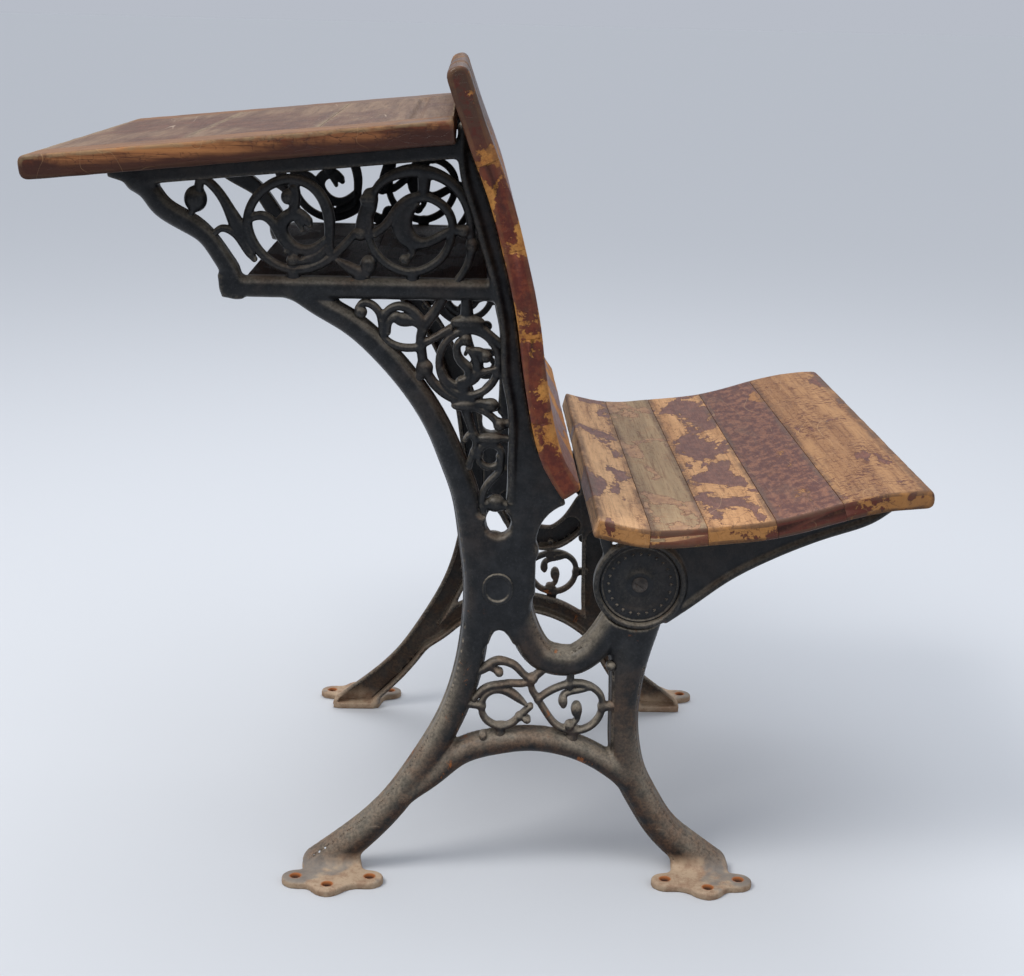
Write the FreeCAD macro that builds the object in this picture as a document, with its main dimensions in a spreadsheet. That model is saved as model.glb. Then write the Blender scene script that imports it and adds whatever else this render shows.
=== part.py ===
import FreeCAD, Part
import math
import os
from FreeCAD import Placement, Rotation, Vector

# Folding school desk: two cast-iron standards carry a sloped desk top, a book shelf, a curved back
# and a dished seat that folds up about two hinge bolts.
# +X points to the front of the seat, +Y to the sitter's left, +Z up.
# The origin is on the floor, under the middle of the whole desk.
# Outlines in the side view are shares: x of overall_length from the middle, z of overall_height from
# the floor. A third number there is the width as a share of the named width of that bar.

SIZES = [
    # The whole desk
    ("overall_length", 793),
    ("overall_height", 759),
    ("board_width", 540),
    ("frame_width", 436),
    # Bars of a standard
    ("casting_depth", 20),
    ("crown_depth", 4),
    ("crown_inset", 3.5),
    ("casting_wall", 4.5),
    ("casting_web", 6),
    ("leg_width", 27),
    ("u_bar_width", 30),
    ("rear_leg_width", 31),
    ("stretcher_width", 24),
    ("shelf_bar_width", 19),
    ("top_rail_width", 15),
    ("bracket_width", 17),
    # Scrollwork
    ("scroll_width", 6),
    ("scroll_depth", 9),
    ("scroll_setback", 4),
    # Number plate on the column, left bare
    ("plate_width", 28),
    ("plate_height", 30),
    ("plate_raise", 1.5),
    ("plate_border", 3),
    ("plate_corner", 9),
    # Feet
    ("foot_thickness", 7),
    ("foot_reach", 52),
    ("foot_lobe_radius", 13),
    ("foot_hole_radius", 3.2),
    ("foot_hole_spacing", 70),
    ("foot_side_hole_reach", 20),
    ("foot_mid_hole_reach", 36),
    ("foot_mid_offset", 4),
    ("foot_web_reach", 8),
    # Flanges that take the wood screws
    ("flange_thickness", 5),
    ("flange_reach", 18),
    ("shelf_ledge_thickness", 6),
    ("shelf_ledge_reach", 16),
    # Wood
    ("desk_thickness", 21),
    ("desk_cleat_width", 60),
    ("desk_edge_radius", 8),
    ("groove_width", 12),
    ("groove_depth", 4),
    ("groove_inset", 34),
    ("shelf_thickness", 12),
    ("back_thickness", 20),
    ("seat_thickness", 18),
    ("joint_gap", 0.3),
    ("wood_gap", 0.3),
    ("shelf_end_gap", 0.6),
    # Seat hinge
    ("hub_radius", 43),
    ("hub_depth", 11),
    ("hub_rim", 5.5),
    ("hub_recess", 4),
    ("cap_thickness", 2),
    ("cap_bead_radius", 29),
    ("cap_bead_width", 2),
    ("cap_bead_raise", 0.6),
    ("cap_gap", 0.3),
    ("cradle_gap", 1.4),
    ("hinge_side_gap", 0.4),
    ("bearing_radius", 32),
    ("hinge_bolt_radius", 5),
    ("hinge_running_gap", 0.08),
    ("bolt_head_radius", 8),
    ("bolt_head_height", 2.4),
    ("bolt_head_crown_radius", 6.4),
    ("bolt_slot_width", 2),
    ("bolt_slot_depth", 1.6),
    ("bolt_slot_angle", 35),
    ("bolt_end_proud", 2),
    ("washer_radius", 10),
    ("washer_thickness", 1.6),
    ("nut_flats", 16),
    ("nut_height", 7),
    # Seat arm
    ("arm_web", 5),
    ("arm_setback", 5),
    ("arm_bead_width", 6),
    ("arm_bead_depth", 8),
    ("arm_flange_thickness", 5),
    ("arm_flange_reach", 24),
    ("arm_neck_width", 10),
    # Wood screws
    ("screw_radius", 2.2),
    ("screw_head_radius", 4.4),
    ("screw_head_height", 2.4),
    ("screw_bite", 12),
    ("screw_gap", 0.15),
    # Cutting tools run this far past what they cut
    ("overrun", 2),
]

# Side view places, in shares
DESK_UNDERSIDE_SHARES = [(-0.498, 0.865), (-0.041, 0.914)]
DESK_BOARD_JOINT_SHARES = [0.0, 0.36, 0.68, 1.0]
SHELF_TOP_SHARE = 0.754
SHELF_FRONT_SHARE = -0.272
SHELF_REAR_SHARE = -0.004
SHELF_JOINT_SHARE = 0.5
HINGE_SHARES = (0.1804, 0.3876)
PLATE_SHARES = (0.0147, 0.380)
# Each foot's middle, and the side of it on which its outermost hole lies
FOOT_SHARES = [(-0.176, -1), (0.267, 1)]

# Desk side of the back, from the top down to the corner that sits on the saddle
BACK_SHARES = [(-0.051, 0.9825), (-0.026, 0.909), (-0.005, 0.852), (0.013, 0.786), (0.027, 0.723),
               (0.036, 0.660), (0.047, 0.596), (0.060, 0.551), (0.084, 0.510)]
BACK_BOARD_COUNT = 5

# Top of the seat, from the rear edge to the front one, and the joints between the slats
SEAT_SHARES = [(0.124, 0.490), (0.183, 0.478), (0.246, 0.482), (0.322, 0.492), (0.396, 0.514),
               (0.449, 0.527), (0.4881, 0.531)]
# The slats meet at these points of the list above
SEAT_JOINTS = [0, 1, 2, 3, 4, 6]

# Bars of a standard: centre line and width
ARC_LEG_SHARES = [(-0.219, 0.738, 0.64), (-0.190, 0.720, 0.78), (-0.159, 0.702, 0.84),
                  (-0.123, 0.670, 0.85), (-0.085, 0.624, 0.85), (-0.055, 0.573, 0.87),
                  (-0.040, 0.537, 0.92), (-0.025, 0.495, 0.96), (-0.016, 0.445, 1.00),
                  (-0.009, 0.388, 1.00), (-0.010, 0.331, 1.00), (-0.017, 0.274, 1.03),
                  (-0.037, 0.208, 1.00), (-0.056, 0.168, 1.03), (-0.079, 0.128, 1.05),
                  (-0.102, 0.093, 1.07), (-0.129, 0.061, 1.14), (-0.158, 0.033, 1.24),
                  (-0.192, 0.002, 1.42)]
U_BAR_SHARES = [(0.035, 0.369, 0.96), (0.040, 0.343, 1.02), (0.047, 0.324, 0.99),
                (0.056, 0.305, 0.99), (0.068, 0.290, 1.01), (0.081, 0.284, 1.02),
                (0.094, 0.282, 1.02), (0.107, 0.283, 0.99), (0.120, 0.290, 0.99),
                (0.133, 0.302, 0.99), (0.143, 0.316, 0.99), (0.154, 0.334, 1.02)]
REAR_LEG_SHARES = [(0.180, 0.375, 1.86), (0.179, 0.352, 1.73), (0.178, 0.332, 1.55),
                   (0.175, 0.305, 1.33), (0.172, 0.278, 1.16), (0.170, 0.248, 1.02),
                   (0.169, 0.217, 0.94), (0.172, 0.166, 0.99), (0.180, 0.132, 1.02),
                   (0.196, 0.099, 1.02), (0.223, 0.056, 1.05), (0.240, 0.039, 1.11),
                   (0.281, 0.005, 1.18)]
STRETCHER_SHARES = [(-0.052, 0.132, 0.96), (-0.028, 0.157, 1.08), (0.021, 0.174, 1.04),
                    (0.053, 0.178, 1.00), (0.086, 0.175, 0.98), (0.116, 0.166, 0.98),
                    (0.144, 0.151, 0.96), (0.173, 0.130, 1.04)]
SHELF_BAR_SHARES = [(-0.292, 0.742, 1.00), (-0.140, 0.742, 1.00), (0.009, 0.742, 1.00)]
TOP_RAIL_SHARES = [(0.170, 0.40), (0.230, 1.00), (0.600, 1.02), (1.020, 1.02)]
BRACKET_SHARES = [(-0.390, 0.859, 1.00), (-0.377, 0.850, 1.02), (-0.366, 0.835, 1.04),
                  (-0.351, 0.823, 1.04), (-0.330, 0.811, 1.02), (-0.316, 0.800, 0.90),
                  (-0.304, 0.784, 0.90), (-0.294, 0.768, 0.93), (-0.286, 0.753, 0.90),
                  (-0.283, 0.735, 0.79)]
# Desk-side edge of the upright that carries the back, from the top down
UPRIGHT_EDGE_SHARES = [(-0.0385, 0.930), (-0.038, 0.895), (-0.033, 0.864), (-0.023, 0.833), (-0.012, 0.795),
                       (-0.001, 0.758), (0.006, 0.728), (0.012, 0.692), (0.015, 0.639),
                       (0.021, 0.610), (0.024, 0.570), (0.024, 0.530), (0.024, 0.490)]
# Saddle under the back: straight and round stretches in turn
SADDLE_SHARES = {"low_left": (-0.010, 0.425), "low_right": (0.0585, 0.425), "flare_low": (0.0585, 0.432),
                 "flare_mid": (0.067, 0.467), "flare_high": (0.091, 0.486), "shoulder": (0.0855, 0.5075),
                 "upright_low": (0.030, 0.510), "slot_right": (0.0215, 0.476), "slot_low": (0.010, 0.446),
                 "slot_left": (0.000, 0.470), "leg_side": (-0.012, 0.470)}
COLUMN_SHARES = [(-0.015, 0.345), (0.021, 0.336), (0.038, 0.345), (0.0585, 0.372), (0.0585, 0.430),
                 (-0.012, 0.430)]

# Scrollwork rings: centre and half sizes as shares, band as a share of scroll_width
RING_SHARES = [(-0.224, 0.808, 0.0430, 0.0471, 1.3), (-0.089, 0.802, 0.0418, 0.0411, 1.3),
               (-0.023, 0.656, 0.0337, 0.0390, 1.0), (0.003, 0.544, 0.0136, 0.0142, 0.9)]

# Buds, bosses and knobs: centre and half sizes as shares
BUD_SHARES = [(-0.325, 0.841, 0.0127, 0.0164), (-0.225, 0.845, 0.0079, 0.0095),
              (-0.145, 0.811, 0.0085, 0.0089), (-0.140, 0.839, 0.0103, 0.0126),
              (-0.138, 0.771, 0.0079, 0.0082), (-0.092, 0.773, 0.0067, 0.0063),
              (-0.023, 0.791, 0.0073, 0.0076), (-0.032, 0.811, 0.0067, 0.0063),
              (-0.145, 0.714, 0.0073, 0.0076), (-0.073, 0.649, 0.0097, 0.0101),
              (-0.025, 0.704, 0.0194, 0.0089), (-0.028, 0.605, 0.0145, 0.0063),
              (0.003, 0.606, 0.0085, 0.0076), (0.013, 0.582, 0.0073, 0.0076),
              (0.002, 0.565, 0.0145, 0.0063), (0.010, 0.485, 0.0109, 0.0108),
              (-0.027, 0.684, 0.0067, 0.0070), (-0.004, 0.664, 0.0067, 0.0070),
              (0.053, 0.207, 0.0048, 0.0045), (0.059, 0.261, 0.0055, 0.0055),
              (0.019, 0.269, 0.0050, 0.0050), (0.112, 0.221, 0.0067, 0.0101),
              (0.104, 0.200, 0.0055, 0.0055), (0.001, 0.185, 0.0045, 0.0060),
              (0.151, 0.279, 0.0060, 0.0060), (0.096, 0.232, 0.0048, 0.0089)]

# Scrollwork strokes: centre line as shares, width as a share of scroll_width
SCROLL_SHARES = {
    "bud_stem": [(-0.321, 0.872, 1.1), (-0.321, 0.853, 1.3)],
    "bud_foot": [(-0.326, 0.828, 1.4), (-0.329, 0.815, 1.4)],
    "vine": [(-0.321, 0.866, 1.3), (-0.309, 0.857, 1.3), (-0.297, 0.845, 1.4), (-0.289, 0.830, 1.4),
             (-0.284, 0.815, 1.4), (-0.276, 0.797, 1.4), (-0.265, 0.781, 1.3)],
    "hook": [(-0.308, 0.795, 1.0), (-0.298, 0.808, 1.1), (-0.289, 0.808, 1.1), (-0.281, 0.801, 1.1),
             (-0.274, 0.790, 1.1), (-0.265, 0.777, 1.1)],
    "ring_a_brace": [(-0.283, 0.881, 1.3), (-0.272, 0.870, 1.1), (-0.256, 0.848, 1.1)],
    "spiral_a": [(-0.264, 0.811, 1.0), (-0.257, 0.823, 1.1), (-0.247, 0.827, 1.2), (-0.239, 0.819, 1.3),
                 (-0.237, 0.806, 1.3), (-0.232, 0.794, 1.3), (-0.223, 0.785, 1.3), (-0.211, 0.784, 1.3),
                 (-0.199, 0.790, 1.2), (-0.192, 0.801, 1.1), (-0.192, 0.815, 1.1), (-0.200, 0.827, 1.2),
                 (-0.211, 0.828, 1.2), (-0.219, 0.823, 1.1), (-0.222, 0.814, 1.0)],
    "spiral_a_tip": [(-0.200, 0.827, 1.0), (-0.203, 0.818, 0.8), (-0.211, 0.812, 0.8)],
    "spiral_a_foot": [(-0.225, 0.783, 1.2), (-0.229, 0.763, 1.2)],
    "knob_a_stem": [(-0.225, 0.848, 1.4), (-0.225, 0.857, 1.6)],
    "leaf_a": [(-0.232, 0.765, 0.8), (-0.217, 0.773, 1.4), (-0.201, 0.780, 1.4), (-0.182, 0.794, 0.6)],
    "vine_2": [(-0.145, 0.810, 1.3), (-0.152, 0.794, 1.2), (-0.165, 0.778, 1.2), (-0.180, 0.767, 1.2),
               (-0.200, 0.759, 1.0)],
    "leaf_ab": [(-0.171, 0.767, 0.6), (-0.160, 0.775, 1.6), (-0.149, 0.772, 2.2), (-0.138, 0.770, 2.1)],
    "leaf_ab_foot": [(-0.150, 0.767, 2.2), (-0.145, 0.752, 2.6)],
    "binding_stem": [(-0.137, 0.848, 1.4), (-0.129, 0.861, 1.4), (-0.115, 0.876, 1.4),
                     (-0.096, 0.888, 1.4)],
    "neck_ab": [(-0.140, 0.830, 1.6), (-0.144, 0.818, 1.3)],
    "ring_a_tie": [(-0.181, 0.812, 1.2), (-0.148, 0.811, 1.2)],
    "ring_b_tie": [(-0.145, 0.811, 1.2), (-0.129, 0.806, 1.2)],
    "outer_arc": [(-0.133, 0.837, 1.1), (-0.125, 0.853, 1.4), (-0.110, 0.870, 1.5), (-0.092, 0.878, 1.6),
                  (-0.073, 0.880, 1.6), (-0.052, 0.875, 1.6), (-0.036, 0.863, 1.5), (-0.028, 0.845, 1.4),
                  (-0.023, 0.825, 1.4), (-0.022, 0.800, 1.3)],
    "arc_stem": [(-0.019, 0.802, 1.3), (-0.021, 0.782, 1.4), (-0.028, 0.765, 1.4), (-0.035, 0.746, 1.4)],
    "arc_tie": [(-0.026, 0.850, 1.2), (-0.018, 0.845, 1.2)],
    "side_stem": [(-0.049, 0.810, 1.0), (-0.033, 0.811, 1.1), (-0.012, 0.815, 1.0)],
    "comma_b": [(-0.092, 0.764, 1.4), (-0.091, 0.790, 1.3), (-0.094, 0.808, 1.4), (-0.093, 0.825, 1.5),
                (-0.082, 0.838, 1.6), (-0.068, 0.840, 1.4), (-0.056, 0.830, 1.4), (-0.051, 0.815, 1.3),
                (-0.058, 0.801, 1.2), (-0.071, 0.796, 1.0), (-0.081, 0.799, 0.8)],
    "comma_wing": [(-0.128, 0.798, 0.6), (-0.113, 0.810, 1.3), (-0.104, 0.821, 1.6), (-0.093, 0.830, 1.3)],
    "curl_mid": [(-0.148, 0.719, 0.8), (-0.142, 0.725, 1.0), (-0.131, 0.722, 1.0), (-0.123, 0.711, 1.0),
                 (-0.121, 0.697, 1.0), (-0.119, 0.685, 1.0), (-0.110, 0.677, 1.0),
                 (-0.097, 0.673, 1.0), (-0.077, 0.674, 1.0)],
    "curl_c": [(-0.074, 0.695, 1.0), (-0.087, 0.705, 1.4), (-0.098, 0.706, 1.8), (-0.107, 0.709, 1.1)],
    "curl_c_foot": [(-0.105, 0.711, 0.9), (-0.112, 0.705, 0.9), (-0.115, 0.691, 0.9)],
    "curl_c_top": [(-0.121, 0.706, 1.0), (-0.115, 0.716, 1.0), (-0.103, 0.722, 1.1),
                   (-0.091, 0.719, 1.3), (-0.078, 0.706, 1.3)],
    "stem": [(-0.053, 0.734, 1.4), (-0.062, 0.716, 1.4), (-0.071, 0.703, 1.4), (-0.077, 0.689, 1.3),
             (-0.077, 0.673, 1.3), (-0.075, 0.657, 1.3)],
    "boss_sweep": [(-0.075, 0.653, 1.3), (-0.064, 0.633, 1.3), (-0.051, 0.620, 1.3),
                   (-0.035, 0.612, 1.2), (-0.018, 0.613, 1.0)],
    "boss_foot": [(-0.073, 0.649, 1.4), (-0.083, 0.635, 1.4)],
    "cap_left": [(-0.075, 0.678, 1.0), (-0.059, 0.687, 1.0), (-0.045, 0.696, 1.1)],
    "cap_stem": [(-0.027, 0.734, 1.4), (-0.026, 0.708, 1.8)],
    "cap_right": [(-0.013, 0.701, 1.0), (-0.001, 0.691, 1.0), (0.014, 0.678, 1.0)],
    "s_leaf": [(-0.027, 0.684, 1.1), (-0.035, 0.679, 1.0), (-0.036, 0.666, 1.1), (-0.030, 0.656, 1.3),
               (-0.023, 0.648, 1.3), (-0.024, 0.638, 1.1), (-0.033, 0.634, 0.8)],
    "crescent": [(-0.024, 0.673, 0.8), (-0.017, 0.666, 1.3), (-0.013, 0.654, 1.5), (-0.014, 0.642, 1.4),
                 (-0.024, 0.632, 1.1), (-0.037, 0.630, 0.8), (-0.048, 0.637, 0.8), (-0.054, 0.648, 0.8)],
    "s_right": [(-0.018, 0.671, 0.8), (-0.011, 0.670, 1.0), (-0.004, 0.664, 1.1)],
    "spiral_foot": [(-0.029, 0.632, 1.9), (-0.029, 0.616, 1.9)],
    "spiral_right": [(-0.016, 0.643, 1.0), (-0.001, 0.647, 0.8), (0.010, 0.650, 0.8)],
    "ring_c_tie": [(0.009, 0.645, 1.2), (0.018, 0.642, 1.2)],
    "bud_stem_low": [(-0.022, 0.607, 1.0), (-0.006, 0.608, 1.1), (0.002, 0.606, 1.3)],
    "knob_stem": [(-0.022, 0.605, 1.0), (0.000, 0.595, 0.9), (0.013, 0.582, 1.0)],
    "wedge": [(-0.027, 0.606, 1.6), (-0.021, 0.584, 1.1), (-0.016, 0.569, 1.0)],
    "knob_to_upright": [(0.013, 0.582, 1.1), (0.027, 0.584, 1.1)],
    "curl_d_tip": [(-0.026, 0.563, 0.6), (-0.021, 0.569, 0.8), (-0.015, 0.569, 0.9)],
    "curl_d": [(-0.018, 0.570, 0.8), (-0.014, 0.560, 0.8), (-0.017, 0.546, 0.8), (-0.022, 0.530, 1.0)],
    "ring_d_tie": [(-0.016, 0.548, 0.9), (-0.009, 0.546, 0.9)],
    "d_leaf_stem": [(-0.008, 0.553, 1.0), (0.001, 0.563, 1.3), (0.016, 0.566, 0.8), (0.027, 0.565, 0.8)],
    "s_stem": [(0.014, 0.543, 1.0), (0.015, 0.527, 1.0), (0.006, 0.515, 1.0), (-0.001, 0.505, 1.0),
               (-0.005, 0.493, 1.0), (-0.004, 0.474, 1.0)],
    "bottom_knob_tie": [(-0.005, 0.483, 1.2), (0.026, 0.482, 1.2)],
    "low_top_curl": [(-0.012, 0.266, 1.0), (0.005, 0.276, 1.4), (0.016, 0.283, 1.3), (0.028, 0.282, 1.1),
                     (0.039, 0.276, 1.1), (0.048, 0.266, 1.0), (0.059, 0.259, 1.0)],
    "low_curl_tip": [(0.008, 0.277, 1.2), (0.019, 0.268, 0.8)],
    "low_curl_tie": [(0.059, 0.261, 1.2), (0.070, 0.272, 1.2)],
    "low_link_line": [(-0.010, 0.234, 0.9), (0.004, 0.248, 1.0), (0.019, 0.252, 1.0),
                      (0.035, 0.254, 1.0), (0.050, 0.255, 1.0), (0.059, 0.261, 1.0)],
    "left_ring": [(0.051, 0.227, 0.5), (0.039, 0.237, 1.3), (0.025, 0.245, 1.3), (0.013, 0.245, 1.1),
                  (0.003, 0.238, 1.0), (-0.001, 0.224, 1.0), (0.001, 0.211, 1.0), (0.010, 0.201, 1.0),
                  (0.023, 0.197, 1.0), (0.035, 0.201, 1.0), (0.045, 0.211, 1.0), (0.057, 0.224, 0.9)],
    "left_ring_touch": [(0.000, 0.224, 1.1), (-0.024, 0.228, 1.3)],
    "left_ring_foot": [(0.022, 0.197, 1.3), (0.022, 0.184, 1.6)],
    "tail_stem": [(0.043, 0.211, 0.8), (0.053, 0.207, 0.8)],
    "s_stroke": [(0.057, 0.261, 0.9), (0.058, 0.247, 1.0), (0.064, 0.236, 1.0), (0.071, 0.224, 1.0),
                 (0.079, 0.211, 1.0), (0.089, 0.199, 1.0), (0.103, 0.193, 1.0), (0.118, 0.193, 1.0),
                 (0.131, 0.200, 1.0), (0.140, 0.213, 1.0), (0.143, 0.227, 1.0)],
    "s_stroke_top": [(0.143, 0.223, 1.0), (0.140, 0.240, 1.0), (0.130, 0.250, 1.0), (0.117, 0.255, 1.0),
                     (0.102, 0.254, 1.0), (0.088, 0.249, 1.0), (0.076, 0.242, 1.0), (0.065, 0.233, 0.9)],
    "s_stroke_tie": [(0.142, 0.224, 1.2), (0.156, 0.226, 1.4)],
    "inner_curl": [(0.094, 0.231, 1.0), (0.097, 0.240, 0.9), (0.107, 0.245, 0.9), (0.119, 0.248, 0.9),
                   (0.127, 0.251, 0.8)],
    "inner_stem": [(0.112, 0.221, 1.1), (0.113, 0.208, 0.8), (0.104, 0.200, 0.8)],
    "ring_link": [(0.103, 0.251, 1.1), (0.104, 0.272, 1.1)],
    "s_foot": [(0.109, 0.195, 1.6), (0.107, 0.180, 1.9)],
}

# Seat arm under the slats
ARM_LOWER_SHARES = [(0.213, 0.342, 1.0), (0.240, 0.362, 1.0), (0.280, 0.394, 1.0), (0.325, 0.421, 1.0),
                    (0.362, 0.439, 1.0), (0.407, 0.457, 1.0), (0.449, 0.474, 1.0), (0.472, 0.491, 0.8)]
ARM_NECK_SHARES = [(0.158, 0.405, 1.00), (0.142, 0.430, 1.00), (0.138, 0.449, 1.10)]
# Where the arm's top flange starts and ends, as shares of the seat's top curve
ARM_FLANGE_SHARES = (0.05, 0.93)
ARM_WEB_START_SHARE = 0.22

# Screw places: along the desk underside, along each back board, along the shelf and along each slat
DESK_SCREW_SHARES = [0.28, 0.56, 0.86]
SHELF_SCREW_SHARES = [0.20, 0.80]
BACK_SCREW_SHARES = [0.80, 0.50, 0.50, 0.50, 0.40]
SEAT_SCREW_SHARE = 0.5
# The cap's ring has this many plain beads
CAP_BEAD_COUNT = 24
# Stretches worked out on each curve between two given points, and along a board
CURVE_STEPS = 3
BOARD_STEPS = 4
# The desk flange starts this share of the way to its first screw
DESK_FLANGE_LEAD_SHARE = 0.75
# A screw head's crown is this share of its width
SCREW_HEAD_CROWN_SHARE = 0.6
PRECISION = 1e-6

doc = FreeCAD.newDocument("FoldingSchoolDesk")
sheet = doc.addObject("Spreadsheet::Sheet", "Sizes")
for row, (alias, value) in enumerate(SIZES, start=1):
    sheet.set("A" + str(row), alias)
    sheet.set("B" + str(row), str(value))
    sheet.setAlias("B" + str(row), alias)
doc.recompute()


def size(alias):
    return float(sheet.get(alias))


# Side view geometry
def place(shares):
    return Vector(shares[0] * size("overall_length"), 0, shares[1] * size("overall_height"))


def curve_through(points):
    curve = Part.BSplineCurve()
    curve.interpolate(points)
    return curve


def side_normal(tangent):
    return Vector(-tangent.z, 0, tangent.x).normalize()


def stations(points):
    """Places along a smooth curve through the points: (place, normal, index of the stretch)."""
    curve = curve_through(points)
    marks = [curve.parameter(point) for point in points]
    places = []
    for i in range(len(marks) - 1):
        for k in range(CURVE_STEPS):
            position = k / CURVE_STEPS
            mark = marks[i] + (marks[i + 1] - marks[i]) * position
            places.append((curve.value(mark), side_normal(curve.tangent(mark)[0]), i + position))
    places.append((curve.value(marks[-1]), side_normal(curve.tangent(marks[-1])[0]), len(marks) - 1))
    return places


def strip_wire(first_side, second_side):
    """Closed wire between two edges that run the same way."""
    return Part.Wire([curve_through(first_side).toShape(),
                      Part.makeLine(first_side[-1], second_side[-1]),
                      curve_through(second_side[::-1]).toShape(),
                      Part.makeLine(second_side[0], first_side[0])])


def ribbon_sides(line, width, inset=0):
    """Both edges of a stroke along a line of (x share, z share, width share)."""
    first_side = []
    second_side = []
    for point, normal, position in stations([place(item) for item in line]):
        start = min(int(position), len(line) - 2)
        local = position - start
        share = line[start][2] * (1 - local) + line[start + 1][2] * local
        half = share * width / 2 - inset
        first_side.append(point + normal * half)
        second_side.append(point - normal * half)
    return first_side, second_side


def ribbon_wire(line, width, inset=0):
    return strip_wire(*ribbon_sides(line, width, inset))


def moved_y(shape, y):
    copy = shape.copy()
    copy.translate(Vector(0, y, 0))
    return copy


def prism(wire, y_start, y_end):
    """Solid from a side view wire, between two places across the desk."""
    return moved_y(Part.Face(wire), y_start).extrude(Vector(0, y_end - y_start, 0))


def crowned_bar(line, width):
    """Bar of a standard: bevelled on its outer face, as deep as the casting."""
    outer = ribbon_wire(line, width, size("crown_inset"))
    full = ribbon_wire(line, width)
    levels = [outer, moved_y(full, size("crown_depth")), moved_y(full, size("casting_depth"))]
    return Part.makeLoft(levels, True, True)


def hollow(line, width):
    """What is cut from the inner side of a bar."""
    wire = ribbon_wire(line, width, size("casting_wall"))
    return prism(wire, size("casting_web"), size("casting_depth") + size("overrun"))


def cylinder_y(centre, radius, y_start, y_end):
    return Part.makeCylinder(radius, y_end - y_start, Vector(centre.x, y_start, centre.z), Vector(0, 1, 0))


def oval_face(centre, half_x, half_z):
    """Flat oval in the side view."""
    if abs(half_x - half_z) < PRECISION:
        edge = Part.Circle(centre, Vector(0, 1, 0), half_x).toShape()
    else:
        along = Vector(half_x, 0, 0)
        across = Vector(0, 0, half_z)
        if half_z > half_x:
            along, across = across, along
        edge = Part.Ellipse(centre + along, centre + across, centre).toShape()
    return Part.Face(Part.Wire([edge]))


hinge = place(HINGE_SHARES)
desk_low = place(DESK_UNDERSIDE_SHARES[0])
desk_high = place(DESK_UNDERSIDE_SHARES[1])
desk_along = (desk_high - desk_low).normalize()
desk_up = Vector(-desk_along.z, 0, desk_along.x)
desk_length = (desk_high - desk_low).Length


def desk_place(share, below=0):
    """Place along the desk underside, and below it."""
    return desk_low + desk_along * (share * desk_length) - desk_up * below


back_edge_line = curve_through([place(item) for item in BACK_SHARES]).toShape()
seat_top_line = curve_through([place(item) for item in SEAT_SHARES]).toShape()


def along_edge(edge, length, offset):
    """Place at a length along an edge, off to its side by the offset."""
    mark = edge.getParameterByLength(length)
    return edge.valueAt(mark) + side_normal(edge.tangentAt(mark)) * offset


def edge_sides(edge, start, end, near, far, boards=1):
    """Two lines beside an edge, between two lengths along it, past this many boards."""
    near_side = []
    far_side = []
    steps = BOARD_STEPS * boards
    for i in range(steps + 1):
        length = start + (end - start) * i / steps
        near_side.append(along_edge(edge, length, near))
        far_side.append(along_edge(edge, length, far))
    return near_side, far_side


# One standard, drawn with its outer face at y = 0 and its depth towards +y
def top_rail():
    width = size("top_rail_width")
    upper = []
    lower = []
    for share, width_share in TOP_RAIL_SHARES:
        upper.append(desk_place(share, size("wood_gap")))
        lower.append(desk_place(share, size("wood_gap") + width * width_share))
    return prism(Part.makePolygon(upper + lower[::-1] + [upper[0]]), 0, size("casting_depth"))


def behind_back(distance):
    """Line at this distance behind the back boards, as far as the upright carries them."""
    limit = place(UPRIGHT_EDGE_SHARES[0]).z
    mark = back_edge_line.Curve.parameter(Vector(place(BACK_SHARES[1]).x, 0, limit))
    start = back_edge_line.Curve.length(back_edge_line.FirstParameter, mark)
    return edge_sides(back_edge_line, start, back_edge_line.Length, -distance, 0, BACK_BOARD_COUNT)[0]


def upright():
    """Bar that carries the back, from the desk top down to the saddle."""
    carried = behind_back(size("wood_gap"))
    edge = [place(item) for item in UPRIGHT_EDGE_SHARES]
    wire = Part.Wire([curve_through(edge).toShape(),
                      Part.makeLine(edge[-1], carried[-1]),
                      curve_through(carried[::-1]).toShape(),
                      Part.makeLine(carried[0], edge[0])])
    return prism(wire, 0, size("casting_depth"))


def saddle():
    spot = {name: place(shares) for name, shares in SADDLE_SHARES.items()}
    edges = [Part.makeLine(spot["low_left"], spot["low_right"]),
             Part.makeLine(spot["low_right"], spot["flare_low"]),
             Part.Arc(spot["flare_low"], spot["flare_mid"], spot["flare_high"]).toShape(),
             Part.makeLine(spot["flare_high"], spot["shoulder"]),
             Part.makeLine(spot["shoulder"], spot["upright_low"]),
             Part.makeLine(spot["upright_low"], spot["slot_right"]),
             Part.Arc(spot["slot_right"], spot["slot_low"], spot["slot_left"]).toShape(),
             Part.makeLine(spot["slot_left"], spot["leg_side"]),
             Part.makeLine(spot["leg_side"], spot["low_left"])]
    return prism(Part.Wire(edges), 0, size("casting_depth"))


def column():
    corners = [place(item) for item in COLUMN_SHARES]
    return prism(Part.makePolygon(corners + [corners[0]]), 0, size("casting_depth"))


def number_plate():
    """Raised bare plate with a border, on the column."""
    centre = place(PLATE_SHARES)

    def rounded_block(width, height, corner, y_start, y_end):
        block = Part.makeBox(width, y_end - y_start, height,
                             Vector(centre.x - width / 2, y_start, centre.z - height / 2))
        upright_edges = [edge for edge in block.Edges
                         if abs(edge.tangentAt(edge.FirstParameter).y) > 1 - PRECISION]
        return block.makeFillet(corner, upright_edges)

    border = size("plate_border")
    raised = rounded_block(size("plate_width"), size("plate_height"), size("plate_corner"),
                           -size("plate_raise"), size("casting_web"))
    field = rounded_block(size("plate_width") - 2 * border, size("plate_height") - 2 * border,
                          size("plate_corner") - border, -size("plate_raise") - size("overrun"), 0)
    return raised.cut(field)


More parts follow.
